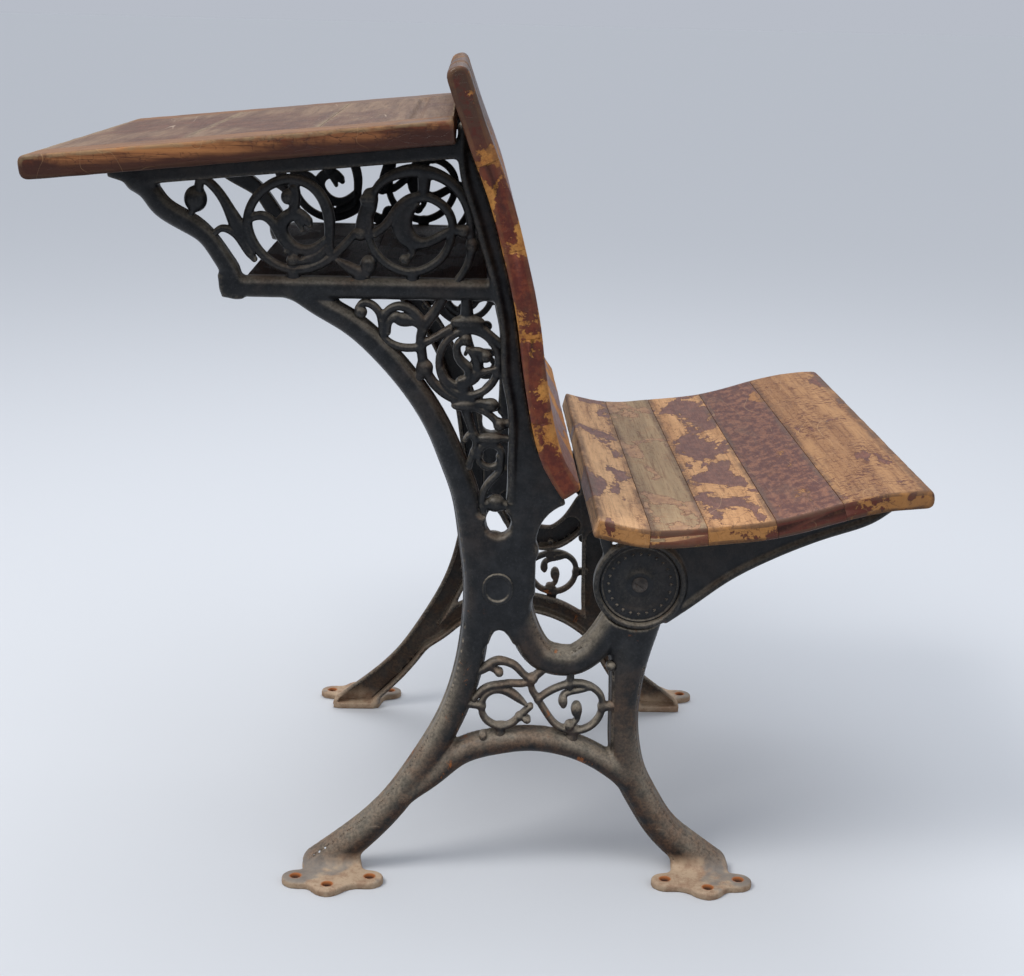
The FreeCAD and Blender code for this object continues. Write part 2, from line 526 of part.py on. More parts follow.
def foot_holes(foot_share, mid_side):
    """Centres of one foot's three holes, on the floor."""
    middle = foot_share * size("overall_length")
    half = size("foot_hole_spacing") / 2
    return [Vector(middle - half, -size("foot_side_hole_reach"), 0),
            Vector(middle + half, -size("foot_side_hole_reach"), 0),
            Vector(middle + mid_side * size("foot_mid_offset"), -size("foot_mid_hole_reach"), 0)]


def foot_plate(foot_share, mid_side):
    """Flat foot with three lobes, on the outer side of the leg."""
    holes = foot_holes(foot_share, mid_side)
    thickness = size("foot_thickness")
    radius = size("foot_lobe_radius")
    up = Vector(0, 0, 1)
    inner = size("casting_depth")
    outer = -size("foot_reach")
    first, second, third = [hole - Vector(0, size("foot_web_reach"), 0) for hole in holes]
    start = Vector(holes[0].x + radius, inner, 0)
    low = Part.makePolygon([start, Vector(holes[1].x - radius, inner, 0), second, third, first, start])
    plate = Part.Face(low).extrude(up * thickness)
    lobes = [Part.makeCylinder(radius, thickness, hole, up) for hole in holes[:2]]
    lobes.append(Part.makeCylinder(holes[2].y - outer, thickness, holes[2], up))
    plate = plate.multiFuse(lobes).removeSplitter()
    for hole in holes:
        plate = plate.cut(Part.makeCylinder(size("foot_hole_radius"), thickness + 2 * size("overrun"),
                                            hole - up * size("overrun"), up))
    return plate


def scrollwork():
    """All rings, buds and strokes of the three panels, as one flat web."""
    unit = size("scroll_width")
    faces = []
    for line in SCROLL_SHARES.values():
        faces.append(Part.Face(ribbon_wire(line, unit)))
    for x_share, z_share, half_x_share, half_z_share in BUD_SHARES:
        faces.append(oval_face(place((x_share, z_share)), half_x_share * size("overall_length"),
                               half_z_share * size("overall_height")))
    for x_share, z_share, half_x_share, half_z_share, band_share in RING_SHARES:
        centre = place((x_share, z_share))
        half_x = half_x_share * size("overall_length")
        half_z = half_z_share * size("overall_height")
        half_band = band_share * unit / 2
        outer = oval_face(centre, half_x + half_band, half_z + half_band)
        faces.append(outer.cut(oval_face(centre, half_x - half_band, half_z - half_band)))
    web = Part.Shell(faces[0].multiFuse(faces[1:]).Faces).removeSplitter()
    start = size("scroll_setback")
    return [moved_y(face, start).extrude(Vector(0, size("scroll_depth"), 0)) for face in web.Faces]


def shelf_bottom():
    return SHELF_TOP_SHARE * size("overall_height") - size("shelf_thickness")


def inner_flanges():
    """Flange behind the back, flange under the desk top and ledge under the shelf."""
    inner = size("casting_depth")
    thickness = size("flange_thickness")
    start = inner - thickness
    end = inner + size("flange_reach")
    gap = size("wood_gap")
    back_flange = prism(strip_wire(behind_back(gap), behind_back(gap + thickness)), start, end)
    first = DESK_SCREW_SHARES[0] * DESK_FLANGE_LEAD_SHARE
    corners = [desk_place(first, gap), desk_place(1, gap),
               desk_place(1, gap + thickness), desk_place(first, gap + thickness)]
    desk_flange = prism(Part.makePolygon(corners + [corners[0]]), start, end)
    front = SHELF_FRONT_SHARE * size("overall_length")
    rear = SHELF_REAR_SHARE * size("overall_length")
    ledge_bottom = shelf_bottom() - gap - size("shelf_ledge_thickness")
    ledge = Part.makeBox(rear - front, size("shelf_ledge_reach") + thickness, size("shelf_ledge_thickness"),
                         Vector(front, start, ledge_bottom))
    return [back_flange, desk_flange, ledge]


def back_joint(i):
    """Length down the back to the top of board i, counted from the top one."""
    return back_edge_line.Length * i / BACK_BOARD_COUNT


def seat_joint(i):
    """Length along the seat's top to a joint between slats."""
    point = place(SEAT_SHARES[SEAT_JOINTS[i]])
    curve = seat_top_line.Curve
    return curve.length(seat_top_line.FirstParameter, curve.parameter(point))


# Wood screws: where the head bears on its flange, and the way the screw points into the wood.
# On a curved flange the flat side of the head stays clear by the screw's gap.
def at_depth(point, y):
    return Vector(point.x, y, point.z)


def desk_screw_lines():
    y = size("casting_depth") + size("flange_reach") / 2
    below = size("wood_gap") + size("flange_thickness")
    return [(at_depth(desk_place(share, below), y), desk_up) for share in DESK_SCREW_SHARES]


def shelf_screw_lines():
    y = size("casting_depth") + size("shelf_ledge_reach") / 2
    z = shelf_bottom() - size("wood_gap") - size("shelf_ledge_thickness")
    front = SHELF_FRONT_SHARE * size("overall_length")
    rear = SHELF_REAR_SHARE * size("overall_length")
    return [(Vector(front + share * (rear - front), y, z), Vector(0, 0, 1)) for share in SHELF_SCREW_SHARES]


def back_screw_lines():
    y = size("casting_depth") + size("flange_reach") / 2
    lines = []
    for i, share in enumerate(BACK_SCREW_SHARES):
        length = back_joint(i) + (back_joint(i + 1) - back_joint(i)) * share
        start = along_edge(back_edge_line, length,
                           -size("wood_gap") - size("flange_thickness") - size("screw_gap"))
        lines.append((at_depth(start, y), (along_edge(back_edge_line, length, 0) - start).normalize()))
    return lines


def seat_screw_lines():
    y = (size("hub_depth") + size("arm_flange_reach")) / 2
    below = size("seat_thickness") + size("wood_gap") + size("arm_flange_thickness") + size("screw_gap")
    lines = []
    for i in range(len(SEAT_JOINTS) - 1):
        length = seat_joint(i) + (seat_joint(i + 1) - seat_joint(i)) * SEAT_SCREW_SHARE
        start = along_edge(seat_top_line, length, -below)
        lines.append((at_depth(start, y), (along_edge(seat_top_line, length, 0) - start).normalize()))
    return lines


def screw_hole(start, way):
    """Clearance hole through a flange and into the wood."""
    length = size("screw_bite") + size("flange_thickness") + 2 * size("wood_gap")
    return Part.makeCylinder(size("screw_radius") + size("screw_gap"), length + size("overrun"),
                             start - way * size("overrun"), way)


def screw(start, way):
    """Round-headed wood screw with a pointed end."""
    head = Part.makeCone(size("screw_head_radius") * SCREW_HEAD_CROWN_SHARE, size("screw_head_radius"),
                         size("screw_head_height"), start - way * size("screw_head_height"), way)
    bite = size("screw_bite") + size("wood_gap")
    shank = Part.makeCylinder(size("screw_radius"), bite, start, way)
    point = Part.makeCone(size("screw_radius"), 0, size("flange_thickness"), start + way * bite, way)
    return head.multiFuse([shank, point]).removeSplitter()


def cut_screws(shape, lines):
    return shape.cut([screw_hole(start, way) for start, way in lines])


def standard():
    depth = size("casting_depth")
    overrun = size("overrun")
    bars = [crowned_bar(ARC_LEG_SHARES, size("leg_width")), crowned_bar(U_BAR_SHARES, size("u_bar_width")),
            crowned_bar(REAR_LEG_SHARES, size("rear_leg_width")),
            crowned_bar(STRETCHER_SHARES, size("stretcher_width")),
            crowned_bar(SHELF_BAR_SHARES, size("shelf_bar_width")),
            crowned_bar(BRACKET_SHARES, size("bracket_width")), top_rail(), upright(), saddle(), column()]
    body = bars[0].multiFuse(bars[1:])
    hollows = [hollow(ARC_LEG_SHARES, size("leg_width")), hollow(U_BAR_SHARES[1:-2], size("u_bar_width")),
               hollow(REAR_LEG_SHARES[4:], size("rear_leg_width")),
               hollow(STRETCHER_SHARES, size("stretcher_width"))]
    body = body.cut(hollows)
    side_gap_end = size("hub_depth") + size("hinge_side_gap")
    bearing = cylinder_y(hinge, size("bearing_radius"), side_gap_end, depth)
    body = body.cut(cylinder_y(hinge, size("hub_radius") + size("cradle_gap"), -overrun, side_gap_end))
    body = body.multiFuse([bearing, number_plate()] + inner_flanges() + scrollwork())
    body = body.multiFuse([foot_plate(share, mid_side) for share, mid_side in FOOT_SHARES])
    bore = size("hinge_bolt_radius") + size("hinge_running_gap")
    body = body.cut(cylinder_y(hinge, bore, -overrun, depth + overrun))
    below = Part.makeBox(2 * size("overall_length"), size("board_width"), size("overall_height"),
                         Vector(-size("overall_length"), -size("board_width") / 2, -size("overall_height")))
    body = body.cut(below)
    return cut_screws(body, desk_screw_lines() + shelf_screw_lines() + back_screw_lines())


# Wood, drawn in the desk's own place
def board_wire(edge, start, end, near, far, round_end=False):
    """Side view of a board along an edge; its far end can be fully round."""
    near_side, far_side = edge_sides(edge, start, end, near, far)
    if round_end:
        middle = (near_side[-1] + far_side[-1]) / 2
        tip = middle + edge.tangentAt(edge.getParameterByLength(end)) * (abs(far - near) / 2)
        cap = Part.Arc(near_side[-1], tip, far_side[-1]).toShape()
    else:
        cap = Part.makeLine(near_side[-1], far_side[-1])
    return Part.Wire([curve_through(near_side).toShape(), cap, curve_through(far_side[::-1]).toShape(),
                      Part.makeLine(far_side[0], near_side[0])])


def mirror_lines(lines):
    """Screw lines of both standards, in the desk's own place."""
    outer = size("frame_width") / 2
    both = []
    for start, way in lines:
        both.append((start - Vector(0, outer, 0), way))
        both.append((Vector(start.x, outer - start.y, start.z), way))
    return both


desk_screws = mirror_lines(desk_screw_lines())
shelf_screws = mirror_lines(shelf_screw_lines())
back_screws = mirror_lines(back_screw_lines())
seat_screws = mirror_lines(seat_screw_lines())


def desk_profile(start_share, end_share, front_gap, rear_gap):
    """Side view of a desk board; one that starts the desk has rounded front edges."""
    thickness = size("desk_thickness")
    radius = size("desk_edge_radius")
    low_start = desk_place(start_share) + desk_along * front_gap
    low_end = desk_place(end_share) - desk_along * rear_gap
    high_start = low_start + desk_up * thickness
    high_end = low_end + desk_up * thickness
    if start_share > 0:
        return Part.makePolygon([low_start, low_end, high_end, high_start, low_start])
    turn = radius * (1 - math.sqrt(0.5))
    low_arc = Part.Arc(low_start + desk_up * radius, low_start + (desk_along + desk_up) * turn,
                       low_start + desk_along * radius).toShape()
    high_arc = Part.Arc(high_start + desk_along * radius, high_start + (desk_along - desk_up) * turn,
                        high_start - desk_up * radius).toShape()
    return Part.Wire([low_arc, Part.makeLine(low_start + desk_along * radius, low_end),
                      Part.makeLine(low_end, high_end),
                       Part.makeLine(high_end, high_start + desk_along * radius),
                      high_arc, Part.makeLine(high_start - desk_up * radius, low_start + desk_up * radius)])


def pencil_groove():
    """Long round-bottomed cut near the desk top's rear edge."""
    half = size("groove_width") / 2
    depth = size("groove_depth")
    radius = (half * half + depth * depth) / (2 * depth)
    above = size("desk_thickness") + radius - depth
    centre = desk_place(1) - desk_along * size("groove_inset") + desk_up * above
    half_length = size("board_width") / 2 - size("desk_cleat_width") - size("groove_width")
    return Part.makeCylinder(radius, 2 * half_length, centre - Vector(0, half_length, 0), Vector(0, 1, 0))


def desk_board(index):
    count = len(DESK_BOARD_JOINT_SHARES) - 1
    half_gap = size("joint_gap") / 2
    wire = desk_profile(DESK_BOARD_JOINT_SHARES[index], DESK_BOARD_JOINT_SHARES[index + 1],
                        half_gap if index > 0 else 0, half_gap if index < count - 1 else 0)
    half = size("board_width") / 2 - size("desk_cleat_width") - size("joint_gap")
    board = prism(wire, -half, half)
    if index == count - 1:
        board = board.cut(pencil_groove())
    return cut_screws(board, desk_screws)


def desk_cleat():
    half = size("board_width") / 2
    return prism(desk_profile(0, 1, 0, 0), -half, -half + size("desk_cleat_width"))


def back_board(index):
    """Board of the back, counted from the top; the top one has a round upper edge."""
    half_gap = size("joint_gap") / 2
    start = back_joint(index) + half_gap
    end = back_joint(index + 1) - half_gap
    thickness = size("back_thickness")
    if index == 0:
        upward = curve_through([place(item) for item in BACK_SHARES[::-1]]).toShape()
        wire = board_wire(upward, upward.Length - end, upward.Length, 0, -thickness, True)
    else:
        wire = board_wire(back_edge_line, start, end, 0, thickness)
    half = size("board_width") / 2
    return cut_screws(prism(wire, -half, half), back_screws)


def seat_slat(index):
    """Slat of the seat, counted from the rear; the front one has a round front edge."""
    half_gap = size("joint_gap") / 2
    last = len(SEAT_JOINTS) - 2
    start = seat_joint(index) + (half_gap if index > 0 else 0)
    end = seat_joint(index + 1) - (half_gap if index < last else 0)
    wire = board_wire(seat_top_line, start, end, 0, -size("seat_thickness"), index == last)
    half = size("board_width") / 2
    return cut_screws(prism(wire, -half, half), seat_screws)


# Seat arm, drawn like the standard with the casting's outer face at y = 0
def seat_arm():
    depth = size("hub_depth")
    overrun = size("overrun")
    hub = cylinder_y(hinge, size("hub_radius"), 0, depth)
    hub = hub.cut(cylinder_y(hinge, size("hub_radius") - size("hub_rim"), -overrun, size("hub_recess")))
    top = -size("seat_thickness") - size("wood_gap")
    low = top - size("arm_flange_thickness")
    total = seat_top_line.Length
    start, end = [share * total for share in ARM_FLANGE_SHARES]
    slats = len(SEAT_JOINTS) - 1
    near, far = edge_sides(seat_top_line, start, end, top, low, slats)
    flange = prism(strip_wire(near, far), size("arm_setback"), size("arm_flange_reach"))
    bead = prism(ribbon_wire(ARM_LOWER_SHARES, size("arm_bead_width")), depth - size("arm_bead_depth"), depth)
    neck = prism(ribbon_wire(ARM_NECK_SHARES, size("arm_neck_width")), overrun, depth)
    lower = [place(item) for item in ARM_LOWER_SHARES]
    upper = edge_sides(seat_top_line, total * ARM_WEB_START_SHARE, end, low + size("overrun"), 0, slats)[0]
    web_wire = Part.Wire([curve_through(lower).toShape(), Part.makeLine(lower[-1], upper[-1]),
                          curve_through(upper[::-1]).toShape(), Part.makeLine(upper[0], hinge),
                          Part.makeLine(hinge, lower[0])])
    web = prism(web_wire, size("arm_setback"), size("arm_setback") + size("arm_web"))
    arm = hub.multiFuse([flange, bead, neck, web])
    arm = arm.cut(cylinder_y(hinge, size("hub_radius") - size("hub_rim"), -overrun, size("hub_recess")))
    bore_radius = size("hinge_bolt_radius") + size("hinge_running_gap")
    arm = arm.cut(cylinder_y(hinge, bore_radius, -overrun, depth + overrun))
    return cut_screws(arm, seat_screw_lines())


# Pieces made of simple solids, whose sizes follow the sheet
ALONG_Y = Rotation(Vector(1, 0, 0), -90)
HINGE_X = f"{HINGE_SHARES[0]} * Sizes.overall_length"
HINGE_Z = f"{HINGE_SHARES[1]} * Sizes.overall_height"
OUTER_FACE = "-Sizes.frame_width / 2"


def bound(kind, name, sizes, base=("0", "0", "0"), turn=Rotation()):
    """Object of the document with its sizes and its place bound to the sheet."""
    item = doc.addObject(kind, name)
    for label, text in sizes.items():
        item.setExpression(label, text)
    item.Placement = Placement(Vector(), turn)
    for axis, text in zip("xyz", base):
        item.setExpression("Placement.Base." + axis, text)
    return item


def fused(name, items):
    item = doc.addObject("Part::MultiFuse", name)
    item.Shapes = items
    return item


def cut(name, base, tool):
    item = doc.addObject("Part::Cut", name)
    item.Base = base
    item.Tool = tool
    return item


def mirrored(name, source):
    item = doc.addObject("Part::Mirroring", name)
    item.Source = source
    item.Normal = Vector(0, 1, 0)
    return item


def at_hinge(item, distance):
    """Sets an object that turns about the y axis at the right hinge, this far from the outer face."""
    for axis, text in (("x", HINGE_X), ("y", OUTER_FACE + " + " + distance), ("z", HINGE_Z)):
        item.setExpression("Placement.Base." + axis, text)
    return item


def hinge_cap():
    """Flat round cap with a ring of plain beads, in the hub's recess."""
    disc = bound("Part::Cylinder", "cap_disc",
                 {"Radius": "Sizes.hub_radius - Sizes.hub_rim - Sizes.cap_gap",
                  "Height": "Sizes.cap_thickness"},
                 turn=ALONG_Y)
    beads = []
    for i in range(CAP_BEAD_COUNT):
        angle = 360 * i / CAP_BEAD_COUNT
        beads.append(bound("Part::Cylinder", f"cap_bead_{i}",
                           {"Radius": "Sizes.cap_bead_width / 2",
                            "Height": "Sizes.cap_bead_raise + Sizes.cap_thickness / 2"},
                           (f"Sizes.cap_bead_radius * cos({angle} deg)", "-Sizes.cap_bead_raise",
                            f"Sizes.cap_bead_radius * sin({angle} deg)"), ALONG_Y))
    bore = bound("Part::Cylinder", "cap_bore",
                 {"Radius": "Sizes.hinge_bolt_radius + Sizes.hinge_running_gap",
                  "Height": "Sizes.cap_thickness + 2 * Sizes.overrun"}, ("0", "-Sizes.overrun", "0"), ALONG_Y)
    return at_hinge(cut("hinge_cap_right", fused("cap_solid", [disc] + beads), bore),
                    "Sizes.hub_recess - Sizes.cap_thickness")


def hinge_bolt():
    """Bolt with a crowned, slotted head; y = 0 is the side of the head that bears on the cap."""
    shank_length = ("Sizes.casting_depth + Sizes.washer_thickness + Sizes.nut_height + Sizes.bolt_end_proud"
                    " - Sizes.hub_recess + Sizes.cap_thickness + Sizes.cap_gap")
    shank = bound("Part::Cylinder", "bolt_shank",
                  {"Radius": "Sizes.hinge_bolt_radius", "Height": shank_length},
                  turn=ALONG_Y)
    head = bound("Part::Cone", "bolt_head",
                 {"Radius1": "Sizes.bolt_head_crown_radius", "Radius2": "Sizes.bolt_head_radius",
                  "Height": "Sizes.bolt_head_height"}, ("0", "-Sizes.bolt_head_height", "0"), ALONG_Y)
    slot = bound("Part::Box", "bolt_slot",
                 {"Length": "2 * Sizes.bolt_head_radius + 2 * Sizes.overrun",
                  "Width": "Sizes.bolt_slot_depth + Sizes.overrun", "Height": "Sizes.bolt_slot_width"},
                 ("-Sizes.bolt_head_radius - Sizes.overrun", "-Sizes.bolt_head_height - Sizes.overrun",
                  "-Sizes.bolt_slot_width / 2"))
    bolt = cut("hinge_bolt_right", fused("bolt_solid", [shank, head]), slot)
    bolt.Placement = Placement(Vector(), Rotation(Vector(0, 1, 0), size("bolt_slot_angle")))
    return at_hinge(bolt, "Sizes.hub_recess - Sizes.cap_thickness - Sizes.cap_gap")


def ring(name, body):
    """The body with the bolt's bore through it."""
    bore = bound("Part::Cylinder", name + "_bore",
                 {"Radius": "Sizes.hinge_bolt_radius + Sizes.hinge_running_gap",
                  "Height": "Sizes.nut_height + 2 * Sizes.overrun"}, ("0", "-Sizes.overrun", "0"), ALONG_Y)
    return cut(name, body, bore)


def hinge_washer():
    disc = bound("Part::Cylinder", "washer_disc",
                 {"Radius": "Sizes.washer_radius", "Height": "Sizes.washer_thickness"}, turn=ALONG_Y)
    return at_hinge(ring("hinge_washer_right", disc), "Sizes.casting_depth")


def hinge_nut():
    hexagon = bound("Part::Prism", "nut_hexagon",
                    {"Circumradius": "Sizes.nut_flats / 2 / cos(30 deg)", "Height": "Sizes.nut_height"},
                    turn=ALONG_Y)
    hexagon.Polygon = 6
    return at_hinge(ring("hinge_nut_right", hexagon), "Sizes.casting_depth + Sizes.washer_thickness")


def shelf_board(name, start_share, end_share, start_gap, end_gap, screw_share):
    """Half of the book shelf, between two shares of the shelf's depth, with its two screw holes."""
    depth = f"{SHELF_REAR_SHARE - SHELF_FRONT_SHARE} * Sizes.overall_length"
    front = f"{SHELF_FRONT_SHARE} * Sizes.overall_length"
    bottom = f"{SHELF_TOP_SHARE} * Sizes.overall_height - Sizes.shelf_thickness"
    half_width = "Sizes.frame_width / 2 - Sizes.casting_depth - Sizes.shelf_end_gap"
    board = bound("Part::Box", name + "_blank",
                  {"Length": f"{end_share - start_share} * {depth} - {start_gap} - {end_gap}",
                   "Width": f"2 * ({half_width})", "Height": "Sizes.shelf_thickness"},
                  (f"{front} + {start_share} * {depth} + {start_gap}", f"-({half_width})", bottom))
    holes = []
    for label, side in (("right", "-"), ("left", "")):
        holes.append(bound("Part::Cylinder", f"{name}_hole_{label}",
                           {"Radius": "Sizes.screw_radius + Sizes.screw_gap",
                            "Height": "Sizes.screw_bite + Sizes.flange_thickness + Sizes.wood_gap"
                                      " - Sizes.shelf_ledge_thickness + Sizes.overrun"},
                           (f"{front} + {screw_share} * {depth}",
                            f"{side}(Sizes.frame_width / 2 - Sizes.casting_depth"
                            " - Sizes.shelf_ledge_reach / 2)",
                            bottom + " - Sizes.overrun")))
    return cut(name, board, fused(name + "_holes", holes))


def shaped(name, shape):
    item = doc.addObject("Part::Feature", name)
    item.Shape = shape
    return item


def on_outer_face(name, shape):
    """Piece drawn from its outer face, set at the right side of the desk."""
    item = shaped(name, shape)
    item.setExpression("Placement.Base.y", OUTER_FACE)
    return item


def screw_group(name, lines):
    return shaped(name, Part.makeCompound([screw(start, way) for start, way in lines]))


# The whole desk
pieces = []
for right_piece in (on_outer_face("right_standard", standard()), shaped("desk_cleat_right", desk_cleat()),
                    on_outer_face("seat_arm_right", seat_arm()), hinge_cap(), hinge_bolt(), hinge_washer(),
                    hinge_nut()):
    left_name = right_piece.Name.replace("right", "left")
    pieces += [right_piece, mirrored(left_name, right_piece)]
for index, name in enumerate(("desk_board_front", "desk_board_middle", "desk_board_rear")):
    pieces.append(shaped(name, desk_board(index)))
half_joint = "Sizes.joint_gap / 2"
pieces.append(shelf_board("book_shelf_board_front", 0, SHELF_JOINT_SHARE, "0", half_joint,
                          SHELF_SCREW_SHARES[0]))
pieces.append(shelf_board("book_shelf_board_rear", SHELF_JOINT_SHARE, 1, half_joint, "0",
                          SHELF_SCREW_SHARES[1]))
for index in range(BACK_BOARD_COUNT):
    pieces.append(shaped(f"back_board_{BACK_BOARD_COUNT - index}", back_board(index)))
for index in range(len(SEAT_JOINTS) - 1):
    pieces.append(shaped(f"seat_slat_{index + 1}", seat_slat(index)))
pieces.append(screw_group("desk_top_screws", desk_screws))
pieces.append(screw_group("book_shelf_screws", shelf_screws))
pieces.append(screw_group("back_screws", back_screws))
pieces.append(screw_group("seat_screws", seat_screws))
doc.recompute()

for item in doc.Objects:
    if "Invalid" in item.State or "Error" in item.State:
        raise RuntimeError(item.Name + " failed: " + ", ".join(item.State))
for piece in pieces:
    piece.Label = piece.Name
    if piece.Shape.isNull() or not piece.Shape.isValid() or not piece.Shape.Solids:
        raise RuntimeError(piece.Label + " has no valid shape")

os.makedirs("parts", exist_ok=True)
for piece in pieces:
    piece.Shape.exportStep("parts/" + piece.Label + ".step")
    print(piece.Label, len(piece.Shape.Solids), "solids,", round(piece.Shape.Volume), "cubic mm")
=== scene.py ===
"""Folding school desk: the looks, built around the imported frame.

Metres, in the frame's own place: +X to the front of the seat, +Y to the sitter's left, +Z up.
Outlines in the side view are shares: x of the overall length from the middle, z of the overall
height from the floor. A third number there is the width as a share of the named width of that bar.
A casting is drawn with its outer face at y = 0 and its depth towards +y.
"""
import math

import bpy
import numpy as np
from mathutils import Matrix, Vector, noise


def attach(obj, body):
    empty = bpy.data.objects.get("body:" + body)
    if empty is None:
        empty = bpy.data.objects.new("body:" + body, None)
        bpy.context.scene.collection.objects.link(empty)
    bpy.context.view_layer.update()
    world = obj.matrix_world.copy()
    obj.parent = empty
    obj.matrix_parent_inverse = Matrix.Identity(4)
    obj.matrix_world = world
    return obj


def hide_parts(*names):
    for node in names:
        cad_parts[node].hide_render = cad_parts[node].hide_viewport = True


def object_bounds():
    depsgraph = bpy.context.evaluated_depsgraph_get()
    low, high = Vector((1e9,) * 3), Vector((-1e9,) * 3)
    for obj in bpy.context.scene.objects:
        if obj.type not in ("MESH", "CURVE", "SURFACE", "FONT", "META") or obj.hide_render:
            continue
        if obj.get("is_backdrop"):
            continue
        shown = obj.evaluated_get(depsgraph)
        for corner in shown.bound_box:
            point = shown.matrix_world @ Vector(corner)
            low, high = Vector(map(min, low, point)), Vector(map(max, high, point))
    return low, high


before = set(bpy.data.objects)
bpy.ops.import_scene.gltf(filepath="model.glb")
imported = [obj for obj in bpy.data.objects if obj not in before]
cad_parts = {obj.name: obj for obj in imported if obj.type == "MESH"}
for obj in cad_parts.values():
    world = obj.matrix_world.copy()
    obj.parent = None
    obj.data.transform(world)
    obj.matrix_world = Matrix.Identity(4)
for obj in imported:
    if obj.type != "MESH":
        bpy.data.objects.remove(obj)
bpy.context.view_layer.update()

OVERALL_LENGTH = 0.793
OVERALL_HEIGHT = 0.759
BOARD_WIDTH = 0.540
OUTER_FACE = 0.218
SIDES = (("right", -1), ("left", 1))

# Bars of a standard
CASTING_DEPTH = 0.020
CASTING_WALL = 0.0045
CASTING_WEB = 0.006
BAR_DOME = 0.013
BAR_FILLET = 0.006
REAR_ARRIS = 0.0002
REAR_FILLET = 0.002
BLOCK_EDGE = 0.003
COLUMN_EDGE = 0.006
COLUMN_FILLET = 0.010
SHELF_END_REACH = 0.006
SHELF_END_EDGE = 0.005
SHELF_END_FRONT = 0.0015
SHELF_END_FILLET = 0.008
CROTCH_FRONT = 0.003
LIP_REACH = 0.0014
LIP_DEPTH = 0.0045
LIP_EDGE = 0.0008
LIP_FILLET = 0.0012
LEG_WIDTH = 0.027
U_BAR_WIDTH = 0.030
REAR_LEG_WIDTH = 0.031
STRETCHER_WIDTH = 0.024
SHELF_BAR_WIDTH = 0.019
TOP_RAIL_WIDTH = 0.015
BRACKET_WIDTH = 0.017
EDGE_BEAD_WIDTH = 0.007
BEAD_DOME = 0.003
BEAD_RISE = 0.0018

# Scrollwork
SCROLL_WIDTH = 0.006
SCROLL_SETBACK = 0.004
SCROLL_BACK = 0.013
SCROLL_DOME = 0.005
SCROLL_FILLET = 0.0018
BUD_RISE = 0.0025
BUD_MARGIN = 0.0004

# Round plate on the column, left bare
PLATE_WIDTH = 0.028
PLATE_HEIGHT = 0.030
PLATE_RAISE = 0.0015
PLATE_MARGIN = 0.003
PLATE_FIELD_RAISE = 0.0002
PLATE_BORDER = 0.0034
PLATE_CORNER = 0.0135
PLATE_BACK = 0.004

# Feet
FOOT_THICKNESS = 0.007
FOOT_EDGE = 0.0022
FOOT_LOBE_RADIUS = 0.013
FOOT_HOLE_RADIUS = 0.0032
FOOT_SINK_RADIUS = 0.0050
FOOT_WEB_REACH = 0.008
FOOT_HOLE_SPACING = 0.070
FOOT_SIDE_HOLE_REACH = 0.020
FOOT_MID_HOLE_REACH = 0.036
FOOT_MID_OFFSET = 0.004
FOOT_FILLET = 0.014
FOOT_LOBE_FILLET = 0.006
FOOT_WEB_FILLET = 0.010
FOOT_SLACK = 0.0004
FOOT_SINK_START = 0.4
FOOT_RUST_REACH = 1.3
FOOT_RUST_FADE = 0.0015
FOOT_STUB = 0.050

# Flanges that take the wood screws
FLANGE_THICKNESS = 0.005
FLANGE_REACH = 0.018
FLANGE_EDGE = 0.001
FLANGE_FILLET = 0.002
LEDGE_THICKNESS = 0.006
LEDGE_REACH = 0.016

# Wood
DESK_THICKNESS = 0.021
DESK_CLEAT_WIDTH = 0.060
DESK_NOSE = 0.008
DESK_CORNER = 0.0007
DESK_END = 0.0006
CLEAT_CORNER = 0.002
CLEAT_END = 0.0028
GROOVE_WIDTH = 0.012
GROOVE_DEPTH = 0.004
GROOVE_INSET = 0.034
GROOVE_FADE = 0.004
SHELF_THICKNESS = 0.012
SHELF_CORNER = 0.001
SHELF_END = 0.0008
BACK_THICKNESS = 0.020
BACK_CORNER = 0.0005
BACK_TOP_CORNER = 0.0096
BACK_LOW_CORNER = 0.004
SEAT_THICKNESS = 0.018
SEAT_CORNER = 0.0006
SEAT_REAR_CORNER = 0.003
SEAT_FRONT_CORNER = 0.0085
CHIP_START = 0.72
CHIP_DEPTH = 0.0075
WAVE_DEPTH = 0.00035
JOINT_GAP = 0.0003
WOOD_GAP = 0.0003
SHELF_END_GAP = 0.0006
NOSE_SHARE = 0.45
BOARD_END = 0.0035
# An end face has a rim this share of the way to its middle
END_MARGIN = 0.3

# Seat hinge and arm
HUB_RADIUS = 0.043
HUB_DEPTH = 0.011
HUB_RIM = 0.0055
HUB_RECESS = 0.004
CRADLE_GAP = 0.0014
SIDE_GAP = 0.0004
BEARING_RADIUS = 0.032
BOLT_RADIUS = 0.005
BOLT_HEAD_RADIUS = 0.008
BOLT_HEAD_HEIGHT = 0.0024
BOLT_SLOT_WIDTH = 0.002
BOLT_SLOT_DEPTH = 0.0016
BOLT_SLOT_ANGLE = 35
BOLT_SHANK_END = 0.0105
BOLT_SEAT_GAP = 0.0003
CAP_RADIUS = 0.0372
CAP_THICKNESS = 0.002
CAP_STEPS = 72
CAP_BEAD_STEPS = 12
CAP_BEAD_LEVELS = 4
CAP_BEAD_SEAT = 0.0006
CAP_BEAD_RING = 0.029
CAP_BEAD_COUNT = 24
CAP_BEAD_RADIUS = 0.0017
CAP_BEAD_RISE = 0.0012
ARM_WEB = 0.005
ARM_SETBACK = 0.005
ARM_BEAD_WIDTH = 0.006
ARM_FLANGE_THICKNESS = 0.005
ARM_FLANGE_REACH = 0.024
ARM_NECK_WIDTH = 0.010
ARM_FILLET = 0.004

